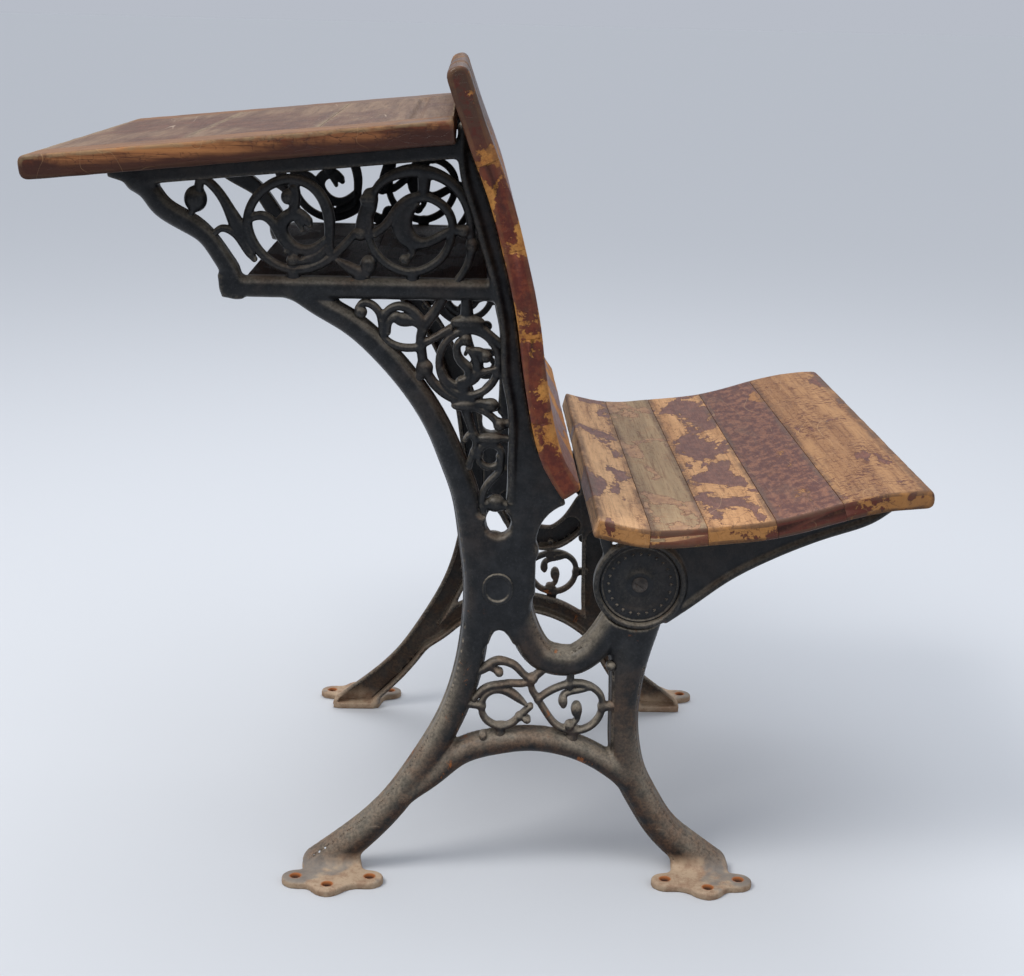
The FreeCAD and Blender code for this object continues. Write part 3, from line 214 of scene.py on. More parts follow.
# Where the bars and the arm lie, and the cells that the castings' surfaces are worked out on
BARS_EXTENT = ((-0.336, -0.0045, 0.003), (0.264, 0.042, 0.712))
ARM_EXTENT = ((0.096, -0.0035, 0.244), (0.392, 0.0275, 0.408))
BAR_CELL = 0.0014
PLATE_CELL = 0.0005
SCROLL_CELL = 0.0009
FOOT_CELL = 0.0011
ARM_CELL = 0.0010
BOLT_CELL = 0.00035
FAR = 1.0

# Side view places, in shares
DESK_UNDERSIDE_SHARES = [(-0.498, 0.865), (-0.041, 0.914)]
DESK_BOARD_JOINT_SHARES = [0.0, 0.36, 0.68, 1.0]
DESK_FLANGE_SHARES = (0.21, 0.99)
SHELF_TOP_SHARE = 0.754
SHELF_FRONT_SHARE = -0.272
SHELF_REAR_SHARE = -0.004
HINGE_SHARES = (0.1804, 0.3876)
PLATE_SHARES = (0.0147, 0.380)
# Each foot's middle, and the side of it on which its outermost hole lies
FOOT_SHARES = [(-0.176, -1), (0.267, 1)]

# Desk side of the back, from the top down to the corner that sits on the saddle
BACK_SHARES = [
    (-0.051, 0.9825), (-0.026, 0.909), (-0.005, 0.852), (0.013, 0.786), (0.027, 0.723), (0.036, 0.66),
    (0.047, 0.596), (0.06, 0.551), (0.084, 0.51)]
BACK_BOARD_COUNT = 5

# Top of the seat, from the rear edge to the front one, and the points of it where the slats meet
SEAT_SHARES = [
    (0.124, 0.49), (0.183, 0.478), (0.246, 0.482), (0.322, 0.492), (0.396, 0.514), (0.449, 0.527),
    (0.4881, 0.531)]
SEAT_JOINTS = [0, 1, 2, 3, 4, 6]

# Bars of a standard: centre line and width. The first four have a thin flange along their backs
ARC_LEG_SHARES = [
    (-0.219, 0.738, 0.64), (-0.19, 0.72, 0.78), (-0.159, 0.702, 0.84), (-0.123, 0.67, 0.85),
    (-0.085, 0.624, 0.85), (-0.055, 0.573, 0.87), (-0.04, 0.537, 0.92), (-0.025, 0.495, 0.96),
    (-0.016, 0.445, 1), (-0.009, 0.388, 1), (-0.01, 0.331, 1), (-0.017, 0.274, 1.03), (-0.037, 0.208, 1),
    (-0.056, 0.168, 1.03), (-0.079, 0.128, 1.05), (-0.102, 0.093, 1.07), (-0.129, 0.061, 1.14),
    (-0.158, 0.033, 1.24), (-0.192, 0.002, 1.42)]
U_BAR_SHARES = [
    (0.035, 0.369, 0.96), (0.04, 0.343, 1.02), (0.047, 0.324, 0.99), (0.056, 0.305, 0.99),
    (0.068, 0.29, 1.01), (0.081, 0.284, 1.02), (0.094, 0.282, 1.02), (0.107, 0.283, 0.99),
    (0.12, 0.29, 0.99), (0.133, 0.302, 0.99), (0.143, 0.316, 0.99), (0.154, 0.334, 1.02)]
REAR_LEG_SHARES = [
    (0.18, 0.375, 1.86), (0.179, 0.352, 1.73), (0.178, 0.332, 1.55), (0.175, 0.305, 1.33),
    (0.172, 0.278, 1.16), (0.17, 0.248, 1.02), (0.169, 0.217, 0.94), (0.172, 0.166, 0.99),
    (0.18, 0.132, 1.02), (0.196, 0.099, 1.02), (0.223, 0.056, 1.05), (0.24, 0.039, 1.11),
    (0.281, 0.005, 1.18)]
STRETCHER_SHARES = [
    (-0.09, 0.098, 0.4), (-0.071, 0.114, 0.62), (-0.052, 0.133, 0.86), (-0.028, 0.157, 1.04),
    (0.021, 0.174, 1.04), (0.053, 0.178, 1), (0.086, 0.175, 0.98), (0.116, 0.166, 0.98),
    (0.144, 0.151, 0.96), (0.173, 0.13, 1.04)]
SHELF_BAR_SHARES = [(-0.292, 0.742, 1), (-0.14, 0.742, 1), (0.009, 0.742, 1)]
BRACKET_SHARES = [
    (-0.39, 0.859, 1), (-0.377, 0.85, 1.02), (-0.366, 0.835, 1.04), (-0.351, 0.823, 1.04),
    (-0.33, 0.811, 1.02), (-0.316, 0.8, 0.9), (-0.304, 0.784, 0.9), (-0.294, 0.768, 0.93),
    (-0.286, 0.753, 0.9), (-0.283, 0.735, 0.79)]
BARS = [(ARC_LEG_SHARES, LEG_WIDTH), (U_BAR_SHARES, U_BAR_WIDTH), (REAR_LEG_SHARES, REAR_LEG_WIDTH),
    (STRETCHER_SHARES, STRETCHER_WIDTH), (SHELF_BAR_SHARES, SHELF_BAR_WIDTH),
    (BRACKET_SHARES, BRACKET_WIDTH)]
# Top rail: how far along the desk top's underside, and width
TOP_RAIL_SHARES = [(0.17, 0.4), (0.23, 1), (0.6, 1.02), (1.02, 1.02)]
# Desk-side edge of the upright that carries the back, from the top down
UPRIGHT_EDGE_SHARES = [
    (-0.0385, 0.93), (-0.038, 0.895), (-0.033, 0.864), (-0.023, 0.833), (-0.012, 0.795), (-0.001, 0.758),
    (0.006, 0.728), (0.012, 0.692), (0.015, 0.639), (0.021, 0.61), (0.024, 0.57), (0.024, 0.53),
    (0.024, 0.49)]
# Saddle under the back and top of the column, around the slot: its third to fifth places lie on a
# round stretch, and so do its eighth to tenth
SADDLE_SHARES = [
    (-0.01, 0.425), (0.0585, 0.425), (0.0585, 0.432), (0.067, 0.467), (0.091, 0.486), (0.0855, 0.5075),
    (0.03, 0.51), (0.0215, 0.476), (0.01, 0.446), (0, 0.47), (-0.012, 0.47)]
COLUMN_SHARES = [
    (-0.015, 0.345), (0.021, 0.336), (0.038, 0.345), (0.0585, 0.372), (0.0585, 0.43), (-0.012, 0.43)]
# Crotch under the column, between the leg and the U bar
CROTCH_SHARES = [
    (0.0019, 0.348), (0.0346, 0.3485), (0.035, 0.307), (0.0295, 0.316), (0.0229, 0.3224),
    (0.0176, 0.3236), (0.0129, 0.3223), (0.0089, 0.3157), (0.005, 0.3065)]

# Panels of scrollwork: low and high corner, and how much wider than scroll_width their strokes are
SCROLL_PANELS = {
    "top_panel": ((-0.345, 0.742), (0.005, 0.9), 1.0),
    "mid_panel": ((-0.16, 0.462), (0.045, 0.742), 1.14),
    "low_panel": ((-0.03, 0.165), (0.17, 0.3), 1.06)}
# Rings: centre and half sizes, band as a share of scroll_width
RING_SHARES = [(-0.023, 0.656, 0.0337, 0.0390, 1.0), (0.003, 0.544, 0.0136, 0.0142, 0.9)]
# Buds, bosses and knobs: centre and half sizes
BUD_SHARES = [
    (-0.3261, 0.8412, 0.0127, 0.0151), (-0.225, 0.846, 0.0073, 0.0087),
    (-0.2196, 0.7734, 0.0074, 0.0073), (-0.1364, 0.8449, 0.0095, 0.0068),
    (-0.1455, 0.8047, 0.0073, 0.0069), (-0.1363, 0.7695, 0.0092, 0.0112),
    (-0.0958, 0.7765, 0.0066, 0.0062), (-0.0313, 0.8105, 0.0081, 0.0073),
    (-0.0215, 0.7938, 0.0074, 0.0085), (-0.145, 0.714, 0.0073, 0.0076), (-0.073, 0.649, 0.0097, 0.0101),
    (-0.025, 0.704, 0.0194, 0.0089), (-0.028, 0.605, 0.0145, 0.0063), (0.003, 0.606, 0.0085, 0.0076),
    (0.013, 0.582, 0.0073, 0.0076), (0.002, 0.565, 0.0145, 0.0063), (0.01, 0.485, 0.0109, 0.0108),
    (-0.027, 0.684, 0.0067, 0.007), (-0.004, 0.664, 0.0067, 0.007), (0.053, 0.207, 0.0048, 0.0045),
    (0.059, 0.261, 0.0055, 0.0055), (0.019, 0.269, 0.005, 0.005), (0.112, 0.221, 0.0067, 0.0101),
    (0.104, 0.2, 0.0055, 0.0055), (0.001, 0.185, 0.0045, 0.006), (0.151, 0.279, 0.006, 0.006),
    (0.096, 0.232, 0.0048, 0.0089)]
# Strokes: x and z of the centre line in ten-thousandths, width as a share of scroll_width
SCROLL_STROKES = [
    [(-1510, 8061, 1.2), (-1639, 7905, 1.3), (-1805, 7751, 1.4), (-1989, 7651, 1.4), (-2192, 7620, 1.4),
     (-2393, 7681, 1.3), (-2557, 7817, 1.3), (-2661, 7998, 1.3), (-2694, 8188, 1.3), (-2640, 8376, 1.3),
     (-2511, 8537, 1.4), (-2346, 8635, 1.5), (-2183, 8659, 1.5), (-2020, 8608, 1.5), (-1893, 8486, 1.6),
     (-1817, 8321, 1.7), (-1790, 8131, 1.6), (-1795, 7978, 1.4), (-1777, 7825, 1.2)],
    [(-2665, 8204, 1.1), (-2542, 8239, 1.3), (-2442, 8190, 1.4), (-2371, 8081, 1.4), (-2320, 7986, 1.2)],
    [(-1850, 7981, 0.8), (-1933, 7899, 1.2), (-2043, 7852, 1.5), (-2171, 7874, 1.8), (-2280, 7968, 2),
     (-2330, 8101, 2.1), (-2274, 8216, 2), (-2150, 8261, 1.9), (-2030, 8191, 1.3)],
    [(-2077, 8221, 1.4), (-2008, 8142, 0.9)],
    [(-2128, 8178, 1.2), (-2093, 8087, 0.7)],
    [(-2180, 8560, 1.6), (-2163, 8437, 1.5), (-2189, 8313, 1.5)],
    [(-2263, 7838, 0.9), (-2187, 7788, 1), (-2194, 7739, 1.2)],
    [(-2117, 7718, 0.8), (-2007, 7759, 1.5), (-1887, 7823, 1.4), (-1822, 7901, 1)],
    [(-1346, 8493, 2.2), (-1360, 8369, 2.4), (-1404, 8244, 2.2), (-1437, 8139, 1.9), (-1455, 8033, 1.6)],
    [(-1364, 8274, 1), (-1353, 8141, 1.2), (-1363, 8064, 1)],
    [(-1319, 8493, 1.1), (-1246, 8618, 1.3), (-1101, 8724, 1.6), (-928, 8779, 1.9), (-737, 8776, 1.9),
     (-536, 8705, 1.7), (-379, 8570, 1.5), (-275, 8383, 1.4), (-233, 8164, 1.3), (-230, 7973, 1.2)],
    [(-750, 8742, 2), (-762, 8492, 1.6)],
    [(-1373, 8102, 1.1), (-1332, 7927, 1.2), (-1219, 7759, 1.3), (-1064, 7654, 1.3), (-883, 7616, 1.3),
     (-698, 7674, 1.3), (-545, 7804, 1.3), (-455, 7987, 1.3), (-435, 8170, 1.3), (-496, 8338, 1.3),
     (-624, 8449, 1.3), (-780, 8492, 1.4), (-926, 8443, 1.7), (-1060, 8315, 1.6), (-1162, 8173, 1.4),
     (-1299, 8056, 1.3)],
    [(-838, 8414, 1), (-952, 8306, 2.4), (-993, 8158, 3), (-932, 8016, 2.8), (-775, 7955, 1.7),
     (-601, 8022, 1.5), (-464, 8106, 1.2)],
    [(-904, 7959, 1.8), (-875, 7844, 1), (-930, 7769, 0.9)],
    [(-428, 8137, 1.2), (-308, 8101, 1.3)],
    [(-219, 7992, 1.3), (-228, 7838, 1.3), (-277, 7686, 1.2), (-364, 7541, 1.2)],
    [(-2192, 7604, 1.6), (-2193, 7515, 2.2)],
    [(-873, 7612, 1.6), (-873, 7534, 2)],
    [(-1713, 7749, 0.6), (-1617, 7682, 1.5), (-1514, 7622, 1.9), (-1388, 7582, 1.4)],
    [(-1455, 7600, 1.8), (-1455, 7526, 2.2)],
    [(-3197, 8679, 1.2), (-3076, 8578, 1.3), (-2963, 8433, 1.4), (-2875, 8261, 1.8), (-2805, 8110, 2.2),
     (-2752, 7977, 1.8), (-2667, 7807, 1.2)],
    [(-3062, 8017, 1), (-2982, 8083, 1), (-2886, 8062, 1.1), (-2789, 7977, 1.1), (-2694, 7829, 1.1),
     (-2622, 7734, 0.8)],
    [(-3193, 8707, 1.3), (-3222, 8537, 1.3)],
    [(-3282, 8309, 1), (-3335, 8203, 0.9)],
    [(-1480, 7190, 0.8), (-1420, 7250, 1), (-1310, 7220, 1), (-1230, 7110, 1), (-1210, 6970, 1),
     (-1190, 6850, 1), (-1100, 6770, 1), (-970, 6730, 1), (-770, 6740, 1)],
    [(-740, 6950, 1), (-870, 7050, 1.4), (-980, 7060, 1.8), (-1070, 7090, 1.1)],
    [(-1050, 7110, 0.9), (-1120, 7050, 0.9), (-1150, 6910, 0.9)],
    [(-1210, 7060, 1), (-1150, 7160, 1), (-1030, 7220, 1.1), (-910, 7190, 1.3), (-780, 7060, 1.3)],
    [(-530, 7340, 1.4), (-620, 7160, 1.4), (-710, 7030, 1.4), (-770, 6890, 1.3), (-770, 6730, 1.3),
     (-750, 6570, 1.3)],
    [(-750, 6530, 1.3), (-640, 6330, 1.3), (-510, 6200, 1.3), (-350, 6120, 1.2), (-180, 6130, 1)],
    [(-730, 6490, 1.4), (-830, 6350, 1.4)],
    [(-750, 6780, 1), (-590, 6870, 1), (-450, 6960, 1.1)],
    [(-270, 7340, 1.4), (-260, 7080, 1.8)],
    [(-130, 7010, 1), (-10, 6910, 1), (140, 6780, 1)],
    [(-270, 6840, 1.1), (-350, 6790, 1), (-360, 6660, 1.1), (-300, 6560, 1.3), (-230, 6480, 1.3),
     (-240, 6380, 1.1), (-330, 6340, 0.8)],
    [(-240, 6730, 0.8), (-170, 6660, 1.3), (-130, 6540, 1.5), (-140, 6420, 1.4), (-240, 6320, 1.1),
     (-370, 6300, 0.8), (-480, 6370, 0.8), (-540, 6480, 0.8)],
    [(-180, 6710, 0.8), (-110, 6700, 1), (-40, 6640, 1.1)],
    [(-290, 6320, 1.9), (-290, 6160, 1.9)],
    [(-160, 6430, 1), (-10, 6470, 0.8), (100, 6500, 0.8)],
    [(90, 6450, 1.2), (180, 6420, 1.2)],
    [(-220, 6070, 1), (-60, 6080, 1.1), (20, 6060, 1.3)],
    [(-220, 6050, 1), (0, 5950, 0.9), (130, 5820, 1)],
    [(-270, 6060, 1.6), (-210, 5840, 1.1), (-160, 5690, 1)],
    [(130, 5820, 1.1), (270, 5840, 1.1)],
    [(-260, 5630, 0.6), (-210, 5690, 0.8), (-150, 5690, 0.9)],
    [(-180, 5700, 0.8), (-140, 5600, 0.8), (-170, 5460, 0.8), (-220, 5300, 1)],
    [(-160, 5480, 0.9), (-90, 5460, 0.9)],
    [(-80, 5530, 1), (10, 5630, 1.3), (160, 5660, 0.8), (270, 5650, 0.8)],
    [(140, 5430, 1), (150, 5270, 1), (60, 5150, 1), (-10, 5050, 1), (-50, 4930, 1), (-40, 4740, 1)],
    [(-50, 4830, 1.2), (260, 4820, 1.2)],
    [(-120, 2660, 1), (50, 2760, 1.4), (160, 2830, 1.3), (280, 2820, 1.1), (390, 2760, 1.1),
     (480, 2660, 1), (590, 2590, 1)],
    [(80, 2770, 1.2), (190, 2680, 0.8)],
    [(590, 2610, 1.2), (700, 2720, 1.2)],
    [(-100, 2340, 0.9), (40, 2480, 1), (190, 2520, 1), (350, 2540, 1), (500, 2550, 1), (590, 2610, 1)],
    [(510, 2270, 0.5), (390, 2370, 1.3), (250, 2450, 1.3), (130, 2450, 1.1), (30, 2380, 1),
     (-10, 2240, 1), (10, 2110, 1), (100, 2010, 1), (230, 1970, 1), (350, 2010, 1), (450, 2110, 1),
     (570, 2240, 0.9)],
    [(0, 2240, 1.1), (-240, 2280, 1.3)],
    [(220, 1970, 1.3), (220, 1840, 1.6)],
    [(430, 2110, 0.8), (530, 2070, 0.8)],
    [(570, 2610, 0.9), (580, 2470, 1), (640, 2360, 1), (710, 2240, 1), (790, 2110, 1), (890, 1990, 1),
     (1030, 1930, 1), (1180, 1930, 1), (1310, 2000, 1), (1400, 2130, 1), (1430, 2270, 1)],
    [(1430, 2230, 1), (1400, 2400, 1), (1300, 2500, 1), (1170, 2550, 1), (1020, 2540, 1), (880, 2490, 1),
     (760, 2420, 1), (650, 2330, 0.9)],
    [(1420, 2240, 1.2), (1560, 2260, 1.4)],
    [(940, 2310, 1), (970, 2400, 0.9), (1070, 2450, 0.9), (1190, 2480, 0.9), (1270, 2510, 0.8)],
    [(1120, 2210, 1.1), (1130, 2080, 0.8), (1040, 2000, 0.8)],
    [(1030, 2510, 1.1), (1040, 2720, 1.1)],
    [(1090, 1950, 1.6), (1070, 1800, 1.9)]]

# Seat arm under the slats
ARM_LOWER_SHARES = [
    (0.213, 0.342, 1), (0.24, 0.362, 1), (0.28, 0.394, 1), (0.325, 0.421, 1), (0.362, 0.439, 1),
    (0.407, 0.457, 1), (0.449, 0.474, 1), (0.472, 0.491, 0.8)]
ARM_NECK_SHARES = [(0.158, 0.405, 1), (0.142, 0.43, 1), (0.138, 0.449, 1.1)]
# Where the arm's top flange starts and ends, as shares of the seat's top curve
ARM_FLANGE_SHARES = (0.05, 0.93)
ARM_WEB_START_SHARE = 0.22


# Lines in the side view
def place(shares):
    return np.array([shares[0] * OVERALL_LENGTH, shares[1] * OVERALL_HEIGHT])


def all_places(shares):
    return np.array([place(item) for item in shares])


def smooth_line(points, steps=6):
    """Smooth line through the points, which can carry more numbers than their place."""
    points = np.array(points, float)
    spans = np.linalg.norm(np.diff(points[:, :2], axis=0), axis=1)
    count = len(points)
    matrix = np.eye(count)
    pulls = np.zeros_like(points)
    for i in range(1, count - 1):
        matrix[i, i - 1:i + 2] = spans[i - 1], 2 * (spans[i - 1] + spans[i]), spans[i]
        after = (points[i + 1] - points[i]) / spans[i]
        pulls[i] = 6 * (after - (points[i] - points[i - 1]) / spans[i - 1])
    bends = np.linalg.solve(matrix, pulls)
    line = []
    for i, span in enumerate(spans):
        for k in range(steps):
            before = span * (1 - k / steps)
            after = span * k / steps
            line.append((bends[i] * before ** 3 + bends[i + 1] * after ** 3) / (6 * span)
                        + (points[i] / span - bends[i] * span / 6) * before
                        + (points[i + 1] / span - bends[i + 1] * span / 6) * after)
    line.append(points[-1])
    return np.array(line)


def share_line(shares, width=0.0, steps=6):
    """Smooth line through shares: x, z and, where the shares have a width, the half width."""
    rows = []
    for item in shares:
        half = [item[2] * width / 2] if len(item) > 2 else []
        rows.append(list(place(item)) + half)
    return smooth_line(rows, steps)


def marks_along(line):
    return np.concatenate([[0], np.cumsum(np.linalg.norm(np.diff(line[:, :2], axis=0), axis=1))])


def walk(line, lengths, aside=0.0):
    """Places at lengths along a line, off to its left side by a distance."""
    marks = marks_along(line)
    x = np.interp(lengths, marks, line[:, 0])
    z = np.interp(lengths, marks, line[:, 1])
    if aside:
        way = np.gradient(line[:, :2], marks, axis=0)
        way_x = np.interp(lengths, marks, way[:, 0])
        way_z = np.interp(lengths, marks, way[:, 1])
        size = np.hypot(way_x, way_z)
        x = x - way_z / size * aside
        z = z + way_x / size * aside
    return np.stack([x, z], axis=1)


def beside(line, start, end, aside, count=40):
    return walk(line, np.linspace(start, end, count), aside)


def arc_through(start, middle, end, count=10):
    """Round stretch through three places."""
    a, b, c = [complex(*point) for point in (start, middle, end)]
    w = (c - a) / (b - a)
    centre = (b - a) * (w - abs(w) ** 2) / (w - w.conjugate()) + a
    radius = abs(a - centre)
    first = math.atan2((a - centre).imag, (a - centre).real)
    turn_middle = math.remainder(math.atan2((b - centre).imag, (b - centre).real) - first, math.tau)
    turn_end = math.remainder(math.atan2((c - centre).imag, (c - centre).real) - first, math.tau)
    if turn_middle * turn_end < 0:
        turn_end += math.copysign(math.tau, turn_middle)
    angles = first + np.linspace(0, turn_end, count)
    return np.stack([centre.real + radius * np.cos(angles), centre.imag + radius * np.sin(angles)], 1)


hinge = place(HINGE_SHARES)
desk_low = place(DESK_UNDERSIDE_SHARES[0])
desk_high = place(DESK_UNDERSIDE_SHARES[1])
desk_length = np.linalg.norm(desk_high - desk_low)
desk_along = (desk_high - desk_low) / desk_length
desk_up = np.array([-desk_along[1], desk_along[0]])
back_line = share_line(BACK_SHARES, steps=12)
back_length = marks_along(back_line)[-1]
seat_line = share_line(SEAT_SHARES, steps=12)
seat_length = marks_along(seat_line)[-1]
shelf_top = SHELF_TOP_SHARE * OVERALL_HEIGHT
shelf_front = SHELF_FRONT_SHARE * OVERALL_LENGTH
shelf_rear = SHELF_REAR_SHARE * OVERALL_LENGTH


def desk_place(share, below=0.0):
    return desk_low + desk_along * (share * desk_length) - desk_up * below


def rectangle(x_low, z_low, x_high, z_high):
    return np.array([(x_low, z_low), (x_high, z_low), (x_high, z_high), (x_low, z_high)])


# Castings are worked out as distances to their surface in a block of cells, and meshed there
class Block:
    """Distances to a surface at the corners of small cells; less than nought is inside."""

    ALL = (slice(None), slice(None))

    def __init__(self, low, high, cell):
        self.low = np.array(low)
        self.cell = cell
        counts = [int(math.ceil((b - a) / cell)) + 1 for a, b in zip(low, high)]
        self.x, self.y, self.z = [low[i] + cell * np.arange(counts[i]) for i in range(3)]
        self.field = np.full(counts, FAR)

    def window(self, line, reach):
        """Cells within reach of a line, in x and z."""
        reach += 4 * self.cell
        return tuple(slice(*np.searchsorted(axis, (line[:, i].min() - reach, line[:, i].max() + reach)))
            for i, axis in enumerate((self.x, self.z)))

    def join(self, window, other, blend):
        """Adds a field, with a fillet where the two meet."""
        part = self.field[window[0], :, window[1]]
        self.field[window[0], :, window[1]] = smooth_least(part, other, blend)

    def cut(self, other):
        self.field = np.maximum(self.field, -other)

    def net(self):
        """Closed mesh with a corner in each cell that the surface crosses."""
        shape = self.field.shape
        for axis in range(3):
            for end in (0, -1):
                border = [slice(None)] * 3
                border[axis] = end
                self.field[tuple(border)] = np.maximum(self.field[tuple(border)], self.cell)
        crossings = []
        rings = []
        for axis in range(3):
            near = np.take(self.field, range(shape[axis] - 1), axis)
            far = np.take(self.field, range(1, shape[axis]), axis)
            at = np.argwhere((near < 0) != (far < 0))
            first = near[tuple(at.T)]
            second = far[tuple(at.T)]
            crossing = at.astype(float)
            crossing[:, axis] += first / (first - second)
            ring = []
            for step_u, step_v in ((1, 1), (0, 1), (0, 0), (1, 0)):
                cell = at.copy()
                cell[:, (axis + 1) % 3] -= step_u
                cell[:, (axis + 2) % 3] -= step_v
                ring.append(np.ravel_multi_index(tuple(cell.T), shape))
            ring = np.stack(ring, axis=1)
            ring[first > 0] = ring[first > 0][:, ::-1]
            crossings.append(crossing)
            rings.append(ring)
        crossings = np.concatenate(crossings)
        rings = np.concatenate(rings)
        cells, faces = np.unique(rings, return_inverse=True)
        faces = faces.reshape(rings.shape)
        times = np.bincount(faces.ravel(), minlength=len(cells))
        corners = np.stack([np.bincount(faces.ravel(), np.repeat(crossings[:, i], 4)) / times
            for i in range(3)], axis=1)
        return self.low + corners * self.cell, faces


def block_around(centre, reach, front, back, cell):
    low = (centre[0] - reach, front, centre[1] - reach)
    return Block(low, (centre[0] + reach, back, centre[1] + reach), cell)


def smooth_least(a, b, blend):
    """The lesser of two fields, rounded over the blend where they are alike."""
    mix = np.clip(0.5 + 0.5 * (b - a) / blend, 0, 1)
    return b * (1 - mix) + a * mix - blend * mix * (1 - mix)


def to_stretch(x, z, start, end):
    """How far along a straight stretch the nearest point to each place is, and how far away."""
    step = end[:2] - start[:2]
    share = ((x - start[0]) * step[0] + (z - start[1]) * step[1]) / (step[0] ** 2 + step[1] ** 2)
    share = np.clip(share, 0, 1)
    return share, np.hypot(x - start[0] - share * step[0], z - start[1] - share * step[1])


def nearest_on(x, z, line):
    """For a sheet of places: distance to a line, and the line's half width there."""
    x = x[:, None]
    z = z[None, :]
    best = np.full((x.size, z.size), FAR)
    distance = best.copy()
    width = np.zeros_like(best)
    for start, end in zip(line, line[1:]):
        share, apart = to_stretch(x, z, start, end)
        half = start[2] + share * (end[2] - start[2])
        closer = apart - half < best
        best = np.where(closer, apart - half, best)
        distance = np.where(closer, apart, distance)
        width = np.where(closer, half, width)
    return distance, width


def outline_field(x, z, corners):
    """Side view distance to a closed outline, less than nought inside it."""
    x = x[:, None]
    z = z[None, :]
    distance = np.full((x.size, z.size), FAR)
    inside = np.zeros(distance.shape, bool)
    for start, end in zip(corners, np.roll(corners, -1, axis=0)):
        distance = np.minimum(distance, to_stretch(x, z, start, end)[1])
        if start[1] != end[1]:
            spans = (start[1] > z) != (end[1] > z)
            inside ^= spans & (x < start[0] + (z - start[1]) / (end[1] - start[1]) * (end[0] - start[0]))
    return np.where(inside, -distance, distance)


def domed(distance, half, y, front, dome, back):
    """Half-round bar: its front is an oval dome, its sides are straight, its back is flat."""
    distance = distance[:, None, :]
    half = half[:, None, :]
    dome = np.minimum(dome, half)
    rise = np.maximum(front + dome - y[None, :, None], 0) * half / np.maximum(dome, 1e-6)
    return np.maximum(np.hypot(distance, rise) - half, y[None, :, None] - back)


def round_edged(a, b, edge):
    """What lies in both fields, with a round edge where they meet."""
    a = a + edge
    b = b + edge
    return np.hypot(np.maximum(a, 0), np.maximum(b, 0)) + np.minimum(np.maximum(a, b), 0) - edge


def drawn_out(flat, y, start, end, edge):
    """A side view field drawn out across the desk, with round edges."""
    deep = np.abs(y - (start + end) / 2)[None, :, None] - (end - start) / 2
    return round_edged(flat[:, None, :], deep, edge)


def add_bar(block, line, front=0.0, dome=BAR_DOME, back=CASTING_DEPTH, blend=BAR_FILLET, lip=0.0):
    """Domed bar; a lip is how far a thin flange at its back stands out on both sides."""
    window = block.window(line, line[:, 2].max() + blend)
    distance, half = nearest_on(block.x[window[0]], block.z[window[1]], line)
    block.join(window, domed(distance, half - lip, block.y, front, dome, back), blend)
    if lip:
        flange = drawn_out(distance - half, block.y, back - LIP_DEPTH, back, LIP_EDGE)
        block.join(window, flange, LIP_FILLET)


def add_shape(block, corners, start=0.0, end=CASTING_DEPTH, edge=BLOCK_EDGE, blend=BAR_FILLET):
    window = block.window(corners, blend)
    flat = outline_field(block.x[window[0]], block.z[window[1]], corners)
    block.join(window, drawn_out(flat, block.y, start, end, edge), blend)


def with_width(line, half):
    return np.column_stack([line[:, :2], np.full(len(line), half)])


def oval(centre, half_x, half_z, half_width, count):
    """Closed line around a place, with its half width."""
    angles = np.linspace(0, math.tau, count)
    line = np.stack([centre[0] + half_x * np.cos(angles), centre[1] + half_z * np.sin(angles)], axis=1)
    return with_width(line, half_width)


def add_strip(block, line, half, start, end, edge=FLANGE_EDGE, blend=FLANGE_FILLET):
    """Flat strip of one thickness along a line."""
    line = with_width(line, half)
    window = block.window(line, half + blend)
    distance, width = nearest_on(block.x[window[0]], block.z[window[1]], line)
    block.join(window, drawn_out(distance - width, block.y, start, end, edge), blend)


def hollow_of(block, distance, half, slack=0.0):
    """What a bar's inner side is cut by."""
    across = (distance - half + CASTING_WALL - slack)[:, None, :]
    return np.maximum(across, CASTING_WEB - slack - block.y[None, :, None])


def cylinder(block, radius, start, end, edge=0.0005):
    flat = np.hypot(block.x[:, None] - hinge[0], block.z[None, :] - hinge[1]) - radius
    return drawn_out(flat, block.y, start, end, edge)


def mesh_piece(name, corners, faces, material, smooth=True):
    mesh = bpy.data.meshes.new(name)
    mesh.from_pydata(corners.tolist(), [], faces.tolist() if isinstance(faces, np.ndarray) else faces)
    mesh.polygons.foreach_set("use_smooth", [smooth] * len(mesh.polygons))
    mesh.materials.append(material)
    mesh.update()
    piece = bpy.data.objects.new(name, mesh)
    bpy.context.scene.collection.objects.link(piece)
    return piece


def add_marks(piece, name, values):
    """A number at each corner, which a material reads by its name."""
    mark = piece.data.attributes.new(name, "FLOAT", "POINT")
    mark.data.foreach_set("value", values)


# Bars of the standards
def behind_back(distance, count=60):
    """Line on the desk's side of the back boards, as far down from the desk top as they go."""
    line = beside(back_line, 0, back_length, -distance, count)
    return line[line[:, 1] < UPRIGHT_EDGE_SHARES[0][1] * OVERALL_HEIGHT]


